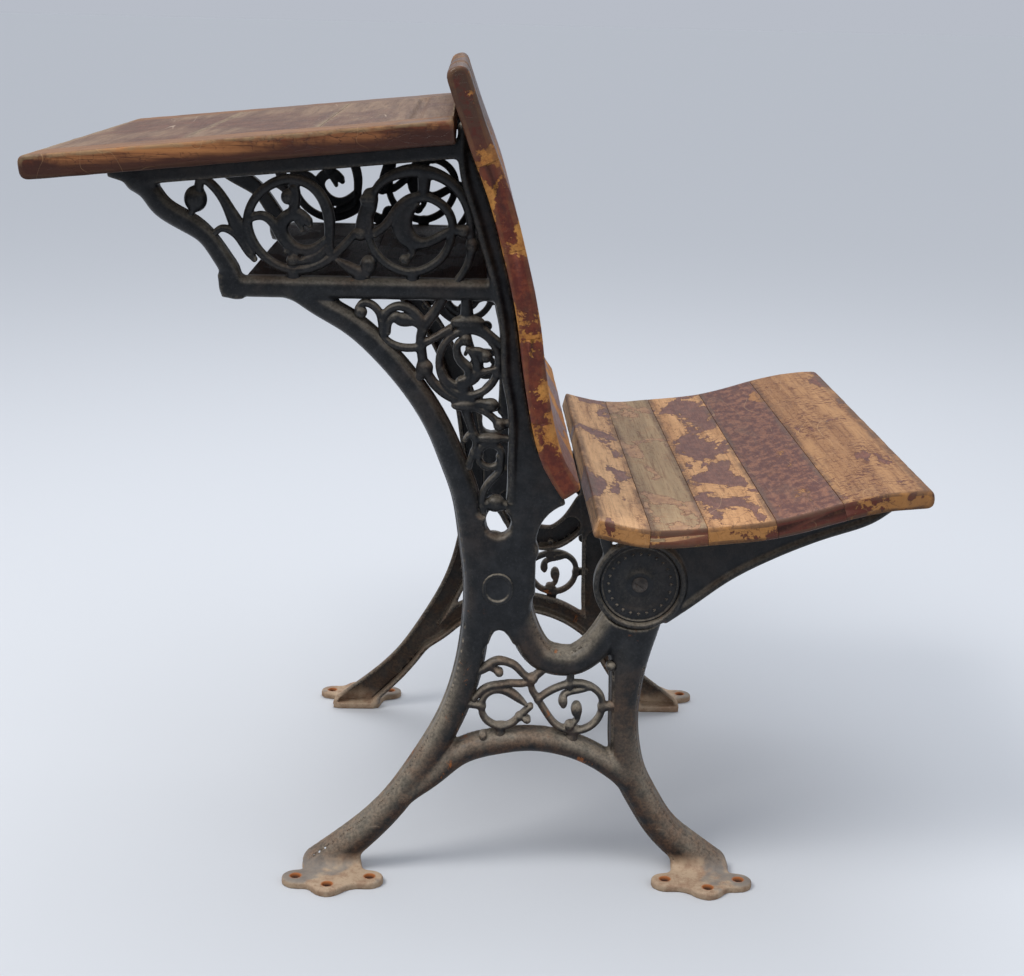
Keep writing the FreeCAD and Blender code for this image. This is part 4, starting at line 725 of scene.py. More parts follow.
def bars():
    block = Block(*BARS_EXTENT, BAR_CELL)
    lines = [share_line(shares, width) for shares, width in BARS]
    arc_leg, u_bar, rear_leg, stretcher, shelf_bar, bracket = lines
    shelf_bar[0, 2] *= 0.5
    bracket[-10:, 2] *= np.linspace(1, 0.5, 10)
    for i, line in enumerate(lines):
        add_bar(block, line, lip=LIP_REACH if i < 4 else 0.0)
    low_end, high_end = [place(SHELF_BAR_SHARES[0]) + (-SHELF_END_REACH, sign * SHELF_BAR_WIDTH / 2)
        for sign in (-1, 1)]
    corner = np.array([low_end + (0.001, 0), low_end + (0.018, 0), high_end + (0.012, 0),
        high_end - (0.002, 0)])
    add_shape(block, corner, SHELF_END_FRONT, edge=SHELF_END_EDGE, blend=SHELF_END_FILLET)
    upper = [desk_place(share, WOOD_GAP) for share, width in TOP_RAIL_SHARES]
    lower = [desk_place(share, WOOD_GAP + TOP_RAIL_WIDTH * width) for share, width in TOP_RAIL_SHARES]
    add_shape(block, np.array(upper + lower[::-1]))
    upright_edge = share_line(UPRIGHT_EDGE_SHARES)
    add_shape(block, np.concatenate([upright_edge, behind_back(WOOD_GAP)[::-1]]))
    saddle = all_places(SADDLE_SHARES)
    outline = np.concatenate([saddle[:2], arc_through(*saddle[2:5]), saddle[5:7],
        arc_through(*saddle[7:10]), saddle[10:]])
    add_shape(block, outline, edge=COLUMN_EDGE)
    add_shape(block, all_places(COLUMN_SHARES), edge=COLUMN_EDGE, blend=COLUMN_FILLET)
    add_shape(block, all_places(CROTCH_SHARES), CROTCH_FRONT, edge=COLUMN_EDGE)
    block.field = -smooth_least(-block.field, block.y[None, :, None] + REAR_ARRIS, REAR_FILLET)
    bead = beside(upright_edge, 0, marks_along(upright_edge)[-1], EDGE_BEAD_WIDTH / 2)
    add_bar(block, with_width(bead, EDGE_BEAD_WIDTH / 2), -BEAD_RISE, BEAD_DOME, blend=FLANGE_FILLET)
    for line in (arc_leg, u_bar[6:-12], rear_leg[24:], stretcher):
        block.cut(hollow_of(block, *nearest_on(block.x, block.z, line)))
    gap_end = HUB_DEPTH + SIDE_GAP
    block.cut(cylinder(block, HUB_RADIUS + CRADLE_GAP, -CASTING_DEPTH, gap_end))
    block.join(Block.ALL, cylinder(block, BEARING_RADIUS, gap_end, CASTING_DEPTH), 0.001)
    half = FLANGE_THICKNESS / 2
    start = CASTING_DEPTH - FLANGE_THICKNESS
    under_top = np.array([desk_place(share, WOOD_GAP + half) for share in DESK_FLANGE_SHARES])
    for line in (behind_back(WOOD_GAP + half), under_top):
        add_strip(block, line, half, start, CASTING_DEPTH + FLANGE_REACH)
    ledge_top = shelf_top - SHELF_THICKNESS - WOOD_GAP
    ledge = rectangle(shelf_front, ledge_top - LEDGE_THICKNESS, shelf_rear, ledge_top)
    add_shape(block, ledge, start, CASTING_DEPTH + LEDGE_REACH, FLANGE_EDGE, FLANGE_FILLET)
    block.cut(cylinder(block, BOLT_RADIUS, -CASTING_DEPTH, 2 * CASTING_DEPTH))
    return block.net()


def rounded_corners(centre, width, height, corner, count=6):
    """Closed outline of a rectangle with round corners."""
    outline = []
    for i, sides in enumerate(((1, 1), (-1, 1), (-1, -1), (1, -1))):
        for k in range(count):
            angle = math.pi / 2 * (i + k / (count - 1))
            middle = centre + np.array(sides) * (width / 2 - corner, height / 2 - corner)
            outline.append(middle + corner * np.array([math.cos(angle), math.sin(angle)]))
    return np.array(outline)


def number_plate():
    """Bare plate on the column: a raised border around a flat field."""
    centre = place(PLATE_SHARES)
    block = block_around(centre, PLATE_HEIGHT / 2 + PLATE_MARGIN, -PLATE_RAISE - 0.002, 0.005, PLATE_CELL)
    outline = rounded_corners(centre, PLATE_WIDTH, PLATE_HEIGHT, PLATE_CORNER)
    flat = outline_field(block.x, block.z, outline)
    border = np.abs(flat + PLATE_BORDER / 2) - PLATE_BORDER / 2
    block.join(Block.ALL, drawn_out(border, block.y, -PLATE_RAISE, PLATE_BACK, PLATE_BORDER / 3), 0.0005)
    field = drawn_out(flat, block.y, -PLATE_FIELD_RAISE, PLATE_BACK, PLATE_FIELD_RAISE)
    block.join(Block.ALL, field, 0.0015)
    return block.net()


def scroll_panel(low_shares, high_shares, widening):
    """Part of the scrollwork between two places: a half-round line for each stroke, and the buds."""
    low_x, low_z = place(low_shares)
    high_x, high_z = place(high_shares)
    block = Block((low_x, SCROLL_SETBACK - BUD_RISE - 3 * SCROLL_CELL, low_z),
        (high_x, SCROLL_BACK + 3 * SCROLL_CELL, high_z), SCROLL_CELL)

    def belongs(shares):
        return low_shares[0] < shares[0] < high_shares[0] and low_shares[1] <= shares[1] < high_shares[1]

    width = widening * SCROLL_WIDTH
    lines = []
    for stroke in SCROLL_STROKES:
        shares = [(x / 10000, z / 10000, share) for x, z, share in stroke]
        if belongs(shares[len(shares) // 2]):
            lines.append(share_line(shares, width))
    for *centre, half_x, half_z, band in RING_SHARES:
        if belongs(centre):
            lines.append(oval(place(centre), *place((half_x, half_z)), band * width / 2, 49))
    for line in lines:
        add_bar(block, line, SCROLL_SETBACK, SCROLL_DOME, SCROLL_BACK, SCROLL_FILLET)
    for *centre, half_x, half_z in BUD_SHARES:
        if belongs(centre):
            add_bud(block, place(centre), place((half_x, half_z)))
    return block.net()


def add_bud(block, centre, half):
    """Knob of the scrollwork: an oval dome that stands out in front of the strokes."""
    window = block.window(np.array([centre - half, centre + half]), BUD_MARGIN)
    x = block.x[window[0]][:, None] - centre[0]
    z = block.z[window[1]][None, :] - centre[1]
    least = min(half)
    round_distance = np.hypot(x / half[0], z / half[1]) * least
    front = SCROLL_SETBACK - BUD_RISE
    block.join(window, domed(round_distance, np.full(round_distance.shape, least), block.y, front,
        max(SCROLL_DOME, least), SCROLL_BACK), SCROLL_FILLET)


def foot(foot_share, mid_side, leg):
    """A plate with three lobes, which the leg runs into, and how near a hole each of its corners is."""
    middle = foot_share * OVERALL_LENGTH
    half = FOOT_HOLE_SPACING / 2
    holes = np.array([(middle - half, -FOOT_SIDE_HOLE_REACH), (middle + half, -FOOT_SIDE_HOLE_REACH),
        (middle + mid_side * FOOT_MID_OFFSET, -FOOT_MID_HOLE_REACH)])
    block = Block((middle - 0.056, -0.056, -0.003), (middle + 0.056, 0.024, FOOT_STUB + 0.006), FOOT_CELL)
    x = block.x[:, None]
    y = block.y[None, :]
    plate = np.full((len(block.x), len(block.y)), FAR)
    for hole in holes:
        lobe = np.hypot(x - hole[0], y - hole[1]) - FOOT_LOBE_RADIUS
        plate = smooth_least(plate, lobe, FOOT_LOBE_FILLET)
    web = holes - (0, FOOT_WEB_REACH)
    inner = np.array([(holes[0][0] + FOOT_LOBE_RADIUS, CASTING_DEPTH - 0.0005), web[0], web[2], web[1],
        (holes[1][0] - FOOT_LOBE_RADIUS, CASTING_DEPTH - 0.0005)])
    plate = smooth_least(plate, outline_field(block.x, block.y, inner), FOOT_WEB_FILLET)
    z = block.z[None, None, :]
    slab = round_edged(plate[:, :, None], z - FOOT_THICKNESS, FOOT_EDGE)
    distance, width = nearest_on(block.x, block.z, leg)
    stub = domed(distance, width - LIP_REACH, block.y, 0.0, BAR_DOME, CASTING_DEPTH) + 0.00025
    stub = np.maximum(stub, z - FOOT_STUB)
    field = smooth_least(slab, stub, FOOT_FILLET)
    hollow = hollow_of(block, distance, width, FOOT_SLACK)
    field = np.maximum(field, -np.maximum(hollow, FOOT_THICKNESS - z))
    for hole in holes:
        apart = np.hypot(x - hole[0], y - hole[1])[:, :, None]
        rise = (z - FOOT_SINK_START * FOOT_THICKNESS) / ((1 - FOOT_SINK_START) * FOOT_THICKNESS)
        sink = FOOT_HOLE_RADIUS + (FOOT_SINK_RADIUS - FOOT_HOLE_RADIUS) * np.clip(rise, 0, 1)
        field = np.maximum(field, sink - apart)
    block.field = np.maximum(field, -z)
    corners, faces = block.net()
    apart = np.min([np.hypot(corners[:, 0] - hole[0], corners[:, 1] - hole[1]) for hole in holes], axis=0)
    return corners, faces, np.clip((FOOT_RUST_REACH * FOOT_SINK_RADIUS - apart) / FOOT_RUST_FADE, 0, 1)


# Seat arms, hinge caps and hinge bolts
def seat_arm():
    block = Block(*ARM_EXTENT, ARM_CELL)
    lower = share_line(ARM_LOWER_SHARES, ARM_BEAD_WIDTH)
    top = -SEAT_THICKNESS - WOOD_GAP
    low = top - ARM_FLANGE_THICKNESS
    start, end = [share * seat_length for share in ARM_FLANGE_SHARES]
    upper = beside(seat_line, seat_length * ARM_WEB_START_SHARE, end, low + 0.002)
    web = np.concatenate([lower[:, :2], upper[::-1], [hinge]])
    add_shape(block, web, ARM_SETBACK, ARM_SETBACK + ARM_WEB, FLANGE_EDGE, ARM_FILLET)
    block.join(Block.ALL, cylinder(block, HUB_RADIUS, 0, HUB_DEPTH, 0.001), 0.006)
    add_bar(block, lower, 0.0015, BEAD_DOME, HUB_DEPTH, ARM_FILLET)
    flange = beside(seat_line, start, end, (top + low) / 2)
    add_strip(block, flange, ARM_FLANGE_THICKNESS / 2, ARM_SETBACK, ARM_FLANGE_REACH, blend=ARM_FILLET)
    add_bar(block, share_line(ARM_NECK_SHARES, ARM_NECK_WIDTH), 0.002, BEAD_DOME, HUB_DEPTH, ARM_FILLET)
    block.cut(cylinder(block, HUB_RADIUS - HUB_RIM, -HUB_DEPTH, HUB_RECESS, 0.0002))
    radius = HUB_RADIUS - HUB_RIM / 2
    add_bar(block, oval(hinge, radius, radius, HUB_RIM / 2 - 0.0002, 73), -BEAD_RISE, BEAD_DOME,
        HUB_RECESS + 0.001, 0.001)
    block.cut(cylinder(block, BOLT_RADIUS, -HUB_DEPTH, 2 * HUB_DEPTH))
    return block.net()


def ring_faces(near, far, count):
    """Faces between two rings, from the numbers of their first corners."""
    return [(near + k, near + (k + 1) % count, far + (k + 1) % count, far + k) for k in range(count)]


def ring_corners(centre, radius, y, count):
    angles = [math.tau * k / count for k in range(count)]
    return [(centre[0] + radius * math.cos(angle), y, centre[1] + radius * math.sin(angle))
        for angle in angles]


def turned(profile, centre, count):
    """Open round surface about an axis across the desk, from (radius, y) places."""
    corners = []
    faces = []
    for i, (radius, y) in enumerate(profile):
        corners += ring_corners(centre, radius, y, count)
        if i > 0:
            faces += ring_faces((i - 1) * count, i * count, count)
    return corners, faces


def hinge_cap():
    """Dished disc in the hub's recess: a raised ring, a ring of plain beads and a raised middle."""
    front = HUB_RECESS - CAP_THICKNESS
    profile = [(BOLT_RADIUS, HUB_RECESS), (CAP_RADIUS, HUB_RECESS), (CAP_RADIUS, front + 0.0010),
        (CAP_RADIUS - 0.0006, front + 0.0004), (CAP_RADIUS - 0.0014, front + 0.0004),
        (CAP_RADIUS - 0.0020, front + 0.0012), (CAP_RADIUS - 0.0030, front + 0.0012),
        (CAP_RADIUS - 0.0040, front + 0.0006), (0.0250, front + 0.0009), (0.0240, front + 0.0012),
        (0.0180, front + 0.0013), (0.0130, front + 0.0010), (0.0120, front + 0.0004), (0.0100, front),
        (BOLT_RADIUS, front)]
    corners, faces = turned(profile, hinge, CAP_STEPS)
    tilts = [math.pi / 2 * i / CAP_BEAD_LEVELS for i in range(CAP_BEAD_LEVELS)]
    bead = [(CAP_BEAD_RADIUS * math.cos(tilt), -CAP_BEAD_RISE * math.sin(tilt)) for tilt in tilts]
    for x, y, z in ring_corners(hinge, CAP_BEAD_RING, front + CAP_BEAD_SEAT, CAP_BEAD_COUNT):
        first = len(corners)
        ring, sides = turned([(radius, y + rise) for radius, rise in bead], (x, z), CAP_BEAD_STEPS)
        corners += ring + [(x, y - CAP_BEAD_RISE, z)]
        faces += [tuple(first + corner for corner in side) for side in sides]
        top = len(corners) - 1
        last = top - CAP_BEAD_STEPS
        faces += [(last + k, last + (k + 1) % CAP_BEAD_STEPS, top) for k in range(CAP_BEAD_STEPS)]
    return np.array(corners), [face[::-1] for face in faces]


def hinge_bolt():
    """Bolt head: a low dome with a slot, on a short shank."""
    seat = HUB_RECESS - CAP_THICKNESS - BOLT_SEAT_GAP
    margin = 4 * BOLT_CELL
    block = block_around(hinge, BOLT_HEAD_RADIUS + margin, seat - BOLT_HEAD_HEIGHT - margin, 0.012,
        BOLT_CELL)
    x = block.x[:, None, None] - hinge[0]
    z = block.z[None, None, :] - hinge[1]
    y = block.y[None, :, None]
    apart = np.hypot(x, z)
    sphere = (BOLT_HEAD_RADIUS ** 2 + BOLT_HEAD_HEIGHT ** 2) / (2 * BOLT_HEAD_HEIGHT)
    dome = np.sqrt(apart ** 2 + (y - seat + BOLT_HEAD_HEIGHT - sphere) ** 2) - sphere
    head = np.maximum(np.maximum(dome, apart - BOLT_HEAD_RADIUS + 0.0002), y - seat)
    shank = np.maximum(np.maximum(apart - BOLT_RADIUS, y - BOLT_SHANK_END), seat - y)
    turn = math.radians(BOLT_SLOT_ANGLE)
    across = np.abs(x * math.sin(turn) + z * math.cos(turn)) - BOLT_SLOT_WIDTH / 2
    slot = np.maximum(across, y - seat + BOLT_HEAD_HEIGHT - BOLT_SLOT_DEPTH)
    block.field = np.minimum(np.maximum(head, -slot), shank)
    return block.net()


# Boards: an outline with worn corners, drawn out across the desk
def wear(x, y, z, scale, seed):
    """Number from 0 to 1 that changes smoothly from place to place."""
    value = 0.5 + 0.75 * noise.noise(Vector((x * scale, y * scale, z * scale + 7.3 * seed)))
    return min(max(value, 0), 1)


def board_ring(sides, radii, side_points, corner_points=5):
    """Closed outline with its corners rounded off, and how much each point is part of a corner."""
    places = []
    corner_marks = []
    count = len(sides)
    for i, side in enumerate(sides):
        length = marks_along(side)[-1]
        marks = np.linspace(radii[i], length - radii[(i + 1) % count], side_points[i])
        run = walk(side, marks)
        places.extend(run)
        corner_marks.extend([1.0] + [0.0] * (side_points[i] - 2) + [1.0])
        after = walk(sides[(i + 1) % count], [radii[(i + 1) % count]])[0]
        for k in range(1, corner_points):
            t = k / corner_points
            places.append((1 - t) ** 2 * run[-1] + 2 * t * (1 - t) * side[-1] + t ** 2 * after)
            corner_marks.append(1.0)
    return np.array(places), np.array(corner_marks)


def middle_line(sides, open_ends):
    """Line midway between a board's near and far sides; it stops short of an end that is open."""
    count = 40
    near = beside(sides[0], 0, marks_along(sides[0])[-1], 0, count)
    far = beside(sides[2], 0, marks_along(sides[2])[-1], 0, count)[::-1]
    line = (near + far) / 2
    half = np.linalg.norm(near[0] - far[0]) / 2
    length = marks_along(line)[-1]
    start = half if open_ends[0] else 0
    end = length - (half if open_ends[1] else 0)
    return beside(line, start, end, 0, count), half


def nearest(line, x, z):
    return line[np.hypot(line[:, 0] - x, line[:, 1] - z).argmin()]


def board(name, sides, y_low, y_high, radii, look, slot, seed, body="frame", ends=(BOARD_END, BOARD_END),
        open_ends=(False, False), station=0.009, spacing=0.007, chips=0.5, dent=None, shade=None):
    """Board along y with four sides in the side view; its corners and ends are worn unevenly."""
    lengths = [marks_along(side)[-1] for side in sides]
    side_points = [max(6, int(length / spacing)) for length in lengths]
    middle, half_thickness = middle_line(sides, open_ends)
    turns = [math.pi / 2 * k / 4 for k in range(5)]
    rounds = [(1 - math.cos(turn), 1 - math.sin(turn)) for turn in turns]
    inner = max(2, int((y_high - y_low) / station))
    steps = [(y_low + ends[0] * along, ends[0] * inset) for along, inset in rounds]
    steps += [(y, 0.0) for y in np.linspace(y_low + ends[0], y_high - ends[1], inner)[1:-1]]
    steps += [(y_high - ends[1] * along, ends[1] * inset) for along, inset in rounds[::-1]]
    corners = []
    arris = []
    for y, inset in steps:
        worn = []
        for i, radius in enumerate(radii):
            x, z = sides[i][0]
            grow = wear(x, y, z, 22, seed + i)
            chip = chips * max(0.0, wear(x, y, z, 90, seed + 11 + i) - CHIP_START) * CHIP_DEPTH
            limit = 0.49 * min(lengths[i], lengths[i - 1])
            worn.append(min(radius + min(radius, 0.002) * (0.6 * grow - 0.3) + chip, limit))
        ring, marks = board_ring(sides, worn, side_points)
        for point, mark in zip(ring, marks):
            near = nearest(middle, *point)
            uneven = 0.55 + 0.9 * wear(point[0], y, point[1], 34, seed + 3)
            depth = inset * uneven + WAVE_DEPTH * wear(point[0], y, point[1], 60, seed + 5)
            if dent:
                depth += dent(point, y)
            x, z = point + (near - point) * depth / half_thickness
            corners.append((x, y, z))
            arris.append(max(mark, min(1.0, inset / 0.0005)))
    count = len(ring)
    faces = []
    for i in range(len(steps) - 1):
        faces += [(face[0], *face[:0:-1]) for face in ring_faces(i * count, (i + 1) * count, count)]
    for first in (0, (len(steps) - 1) * count):
        rim = len(corners)
        for x, y, z in corners[first:first + count]:
            near = nearest(middle, x, z)
            corners.append((x + END_MARGIN * (near[0] - x), y, z + END_MARGIN * (near[1] - z)))
            arris.append(0.0)
        cap = ring_faces(first, rim, count) + [tuple(range(rim, rim + count))]
        faces += cap if first == 0 else [face[::-1] for face in cap]
    piece = mesh_piece(name + "_wood", np.array(corners), faces, wood(name + "_wood", **look))
    add_marks(piece, "arris", arris)
    if shade:
        add_marks(piece, "shade", [shade(np.array((x, z))) for x, y, z in corners])
    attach(piece, body)
    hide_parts(name)


def four_sides(spots):
    """Straight sides between four places, in turn."""
    return [np.array([spots[i], spots[(i + 1) % 4]]) for i in range(4)]


def desk_sides(start_share, end_share, front_gap=0.0, rear_gap=0.0):
    """Sides of a desk board, clockwise from its lower front corner."""
    front = desk_place(start_share) + desk_along * front_gap
    rear = desk_place(end_share) - desk_along * rear_gap
    return four_sides([front, rear, rear + desk_up * DESK_THICKNESS, front + desk_up * DESK_THICKNESS])


def lengthened(line, before, after):
    """The line with straight stretches added to its ends."""
    first = line[0] + (line[0] - line[1]) / np.linalg.norm(line[0] - line[1]) * before
    last = line[-1] + (line[-1] - line[-2]) / np.linalg.norm(line[-1] - line[-2]) * after
    return np.concatenate([[first] if before else line[:0], line, [last] if after else line[:0]])


def curved_sides(line, start, end, near, far):
    """Sides of a board along a curved line, between two lengths and two distances beside it."""
    near_side = beside(line, start, end, near)
    far_side = beside(line, start, end, far)
    return [near_side, np.array([near_side[-1], far_side[-1]]), far_side[::-1],
        np.array([far_side[0], near_side[0]])]


# Materials
def colour(red, green, blue):
    """Linear colour of a display colour given in 0 to 255."""
    return [((value / 255 + 0.055) / 1.055) ** 2.4 for value in (red, green, blue)] + [1.0]


class Shader:
    """Short ways to add nodes to one material's tree."""

    def __init__(self, name):
        self.material = bpy.data.materials.new(name)
        self.material.use_nodes = True
        self.tree = self.material.node_tree
        self.surface = self.tree.nodes["Principled BSDF"]
        self.coordinates = self.tree.nodes.new("ShaderNodeTexCoord").outputs

    def node(self, kind, **settings):
        item = self.tree.nodes.new("ShaderNode" + kind)
        for key, value in settings.items():
            setattr(item, key, value)
        return item

    def fill(self, item, values):
        """Sets or links a node's inputs, from their names or numbers."""
        for key, value in values.items():
            socket = item.inputs[key]
            if isinstance(value, bpy.types.NodeSocket):
                self.tree.links.new(value, socket)
            elif value is not None:
                socket.default_value = value
        return item.outputs

    def scaled(self, scale, turn=(0, 0, 0), move=(0, 0, 0)):
        """Places in the frame, stretched by a scale along each axis."""
        return self.fill(self.node("Mapping"), {"Vector": self.coordinates["Object"], "Scale": scale,
            "Rotation": turn, "Location": move})[0]

    def noise(self, places, scale=1.0, detail=4.0, rough=0.55, twist=0.0, output="Fac"):
        return self.fill(self.node("TexNoise"), {"Vector": places, "Scale": scale, "Detail": detail,
            "Roughness": rough, "Distortion": twist})[output]

    def steps(self, value, low, high, first=0.0, last=1.0):
        """Goes smoothly from first to last while the value goes from low to high."""
        item = self.node("MapRange", interpolation_type="SMOOTHSTEP")
        return self.fill(item, {"Value": value, "From Min": low, "From Max": high, "To Min": first,
            "To Max": last})["Result"]

    def math(self, kind, a, b=0.0):
        return self.fill(self.node("Math", operation=kind), {0: a, 1: b})[0]

    def times(self, a, b):
        return self.math("MULTIPLY", a, b)

    def plus(self, a, b):
        return self.math("ADD", a, b)

    def less(self, a, b):
        return self.math("SUBTRACT", a, b)

    def apart(self, a, b):
        """How far two values are from each other."""
        return self.math("ABSOLUTE", self.less(a, b))

    def mix(self, share, a, b):
        return self.fill(self.node("Mix", data_type="RGBA"), {0: share, 6: a, 7: b})[2]

    def mark(self, name):
        return self.node("Attribute", attribute_name=name).outputs["Fac"]

    def part(self, kind, axis):
        """One of the three numbers of a place or of the way that the surface faces."""
        return self.fill(self.node("SeparateXYZ"), {0: self.coordinates[kind]})[axis]

    def bump(self, height, distance, strength=1.0, under=None):
        return self.fill(self.node("Bump"), {"Height": height, "Distance": distance,
            "Strength": strength, "Normal": under})[0]

    def finish(self, base, rough, normal=None, metal=0.0, shine=0.5):
        self.fill(self.surface, {"Base Color": base, "Roughness": rough, "Metallic": metal,
            "Specular IOR Level": shine, "Normal": normal})
        return self.material


IRON_BLACK = colour(20, 23, 27)
IRON_GREY = colour(60, 62, 66)
IRON_BROWN = colour(70, 58, 50)
# Pale dust colour, also used for the painted highlights on tops and ridges
IRON_DUST_AND_HIGHLIGHT = colour(160, 150, 134)
RUST_DARK = colour(72, 52, 43)
RUST_BROWN = colour(134, 100, 76)
RUST_PALE = colour(196, 172, 146)
RUST_TAN = colour(168, 138, 114)
RUST_ORANGE = colour(176, 106, 56)
SALT_GREY = colour(122, 128, 130)


def iron(name):
    """Old black iron: worn grey on its ridges with a painted highlight there, dusty on top with a painted
    highlight from above, rusting towards the floor.
    """
    s = Shader(name)
    places = s.coordinates["Object"]
    height = s.part("Object", 2)
    broad = s.noise(places, 14, 4, 0.6)
    middle = s.noise(places, 75, 7, 0.68)
    fine = s.noise(places, 380, 6, 0.7)
    speck = s.noise(places, 1300, 4, 0.7)
    low = s.plus(s.steps(height, 0.34, 0.02), s.times(s.less(broad, 0.5), 1.2))
    base = s.mix(s.steps(middle, 0.38, 0.70), IRON_BLACK, s.mix(0.45, IRON_BLACK, IRON_GREY))
    base = s.mix(s.times(s.steps(fine, 0.52, 0.68), 0.45), base, IRON_GREY)
    brown = s.plus(s.steps(broad, 0.46, 0.66, 0, 0.28), s.steps(low, 0.15, 0.8, 0, 0.5))
    base = s.mix(s.times(brown, s.steps(middle, 0.3, 0.6)), base, IRON_BROWN)
    # Convex ridges turn lighter: wear, and a painted highlight along the crests
    ridge_wear_and_highlight = s.steps(s.node("NewGeometry").outputs["Pointiness"], 0.505, 0.56)
    worn = s.times(ridge_wear_and_highlight, s.steps(fine, 0.36, 0.62))
    base = s.mix(s.times(worn, 0.6), base, IRON_DUST_AND_HIGHLIGHT)
    # Faces that look up turn lighter, more so low down: dust, and a painted highlight of the light from
    # above
    slope = s.times(s.part("Normal", 2), 1.6)
    dust_and_highlight_mask = s.steps(s.plus(slope, s.steps(height, 0.38, 0.05, 0.0, 0.50)), 0.15, 1.0)
    dust_and_highlight = s.times(dust_and_highlight_mask, s.steps(fine, 0.25, 0.65, 0.40, 1.0))
    dust_and_highlight = s.times(dust_and_highlight, s.steps(height, 0.42, 0.12, 0.45, 0.90))
    dust_and_highlight = s.times(dust_and_highlight, s.steps(middle, 0.30, 0.58, 0.55, 1.0))
    base = s.mix(dust_and_highlight, base, s.mix(s.steps(broad, 0.46, 0.62, 0, 0.45), IRON_DUST_AND_HIGHLIGHT, RUST_BROWN))
    rust = s.times(s.steps(low, 0.30, 1.0), s.steps(middle, 0.38, 0.60))
    rusts = s.mix(s.steps(fine, 0.40, 0.62), RUST_DARK, RUST_BROWN)
    base = s.mix(s.times(rust, 0.40), base, rusts)
    spots = s.steps(s.noise(places, 30, 8, 0.75, 0.6), 0.635, 0.675)
    spots = s.times(spots, s.steps(low, 0.0, 0.4))
    base = s.mix(s.times(spots, 0.85), base, RUST_ORANGE)
    foot = s.steps(s.plus(height, s.steps(broad, 0.3, 0.7, -0.008, 0.008)), 0.026, 0.008)
    foot = s.times(foot, s.steps(middle, 0.24, 0.36))
    foot_colour = s.mix(s.steps(middle, 0.36, 0.60), RUST_TAN, RUST_PALE)
    foot_colour = s.mix(s.times(s.steps(fine, 0.56, 0.66), 0.5), foot_colour, RUST_BROWN)
    salt = s.times(s.steps(broad, 0.50, 0.58), s.steps(height, 0.0045, 0.0075))
    foot_colour = s.mix(s.times(salt, 0.7), foot_colour, SALT_GREY)
    base = s.mix(s.times(foot, 0.95), base, foot_colour)
    base = s.mix(s.mark("hole"), base, s.mix(s.steps(height, 0.003, 0.007), RUST_DARK, RUST_ORANGE))
    rusted = s.math("MAXIMUM", rust, foot)
    rough = s.plus(s.steps(fine, 0.3, 0.75, 0.30, 0.48), s.times(rusted, 0.30))
    normal = s.bump(middle, 0.0012, 0.30)
    normal = s.bump(fine, 0.0005, 0.35, normal)
    normal = s.bump(speck, 0.00015, 0.3, normal)
    return s.finish(base, rough, normal, 0.0, 0.26)


def steel(name):
    """Bare steel of the bolts and screws, browned with age."""
    s = Shader(name)
    places = s.coordinates["Object"]
    middle = s.noise(places, 160, 5, 0.6)
    fine = s.noise(places, 900, 4, 0.6)
    base = s.mix(s.steps(middle, 0.35, 0.65), colour(56, 52, 50), colour(86, 80, 75))
    base = s.mix(s.steps(fine, 0.55, 0.72), base, RUST_DARK)
    return s.finish(base, s.steps(fine, 0.3, 0.7, 0.34, 0.6), s.bump(fine, 0.0002, 0.5), 0.6)


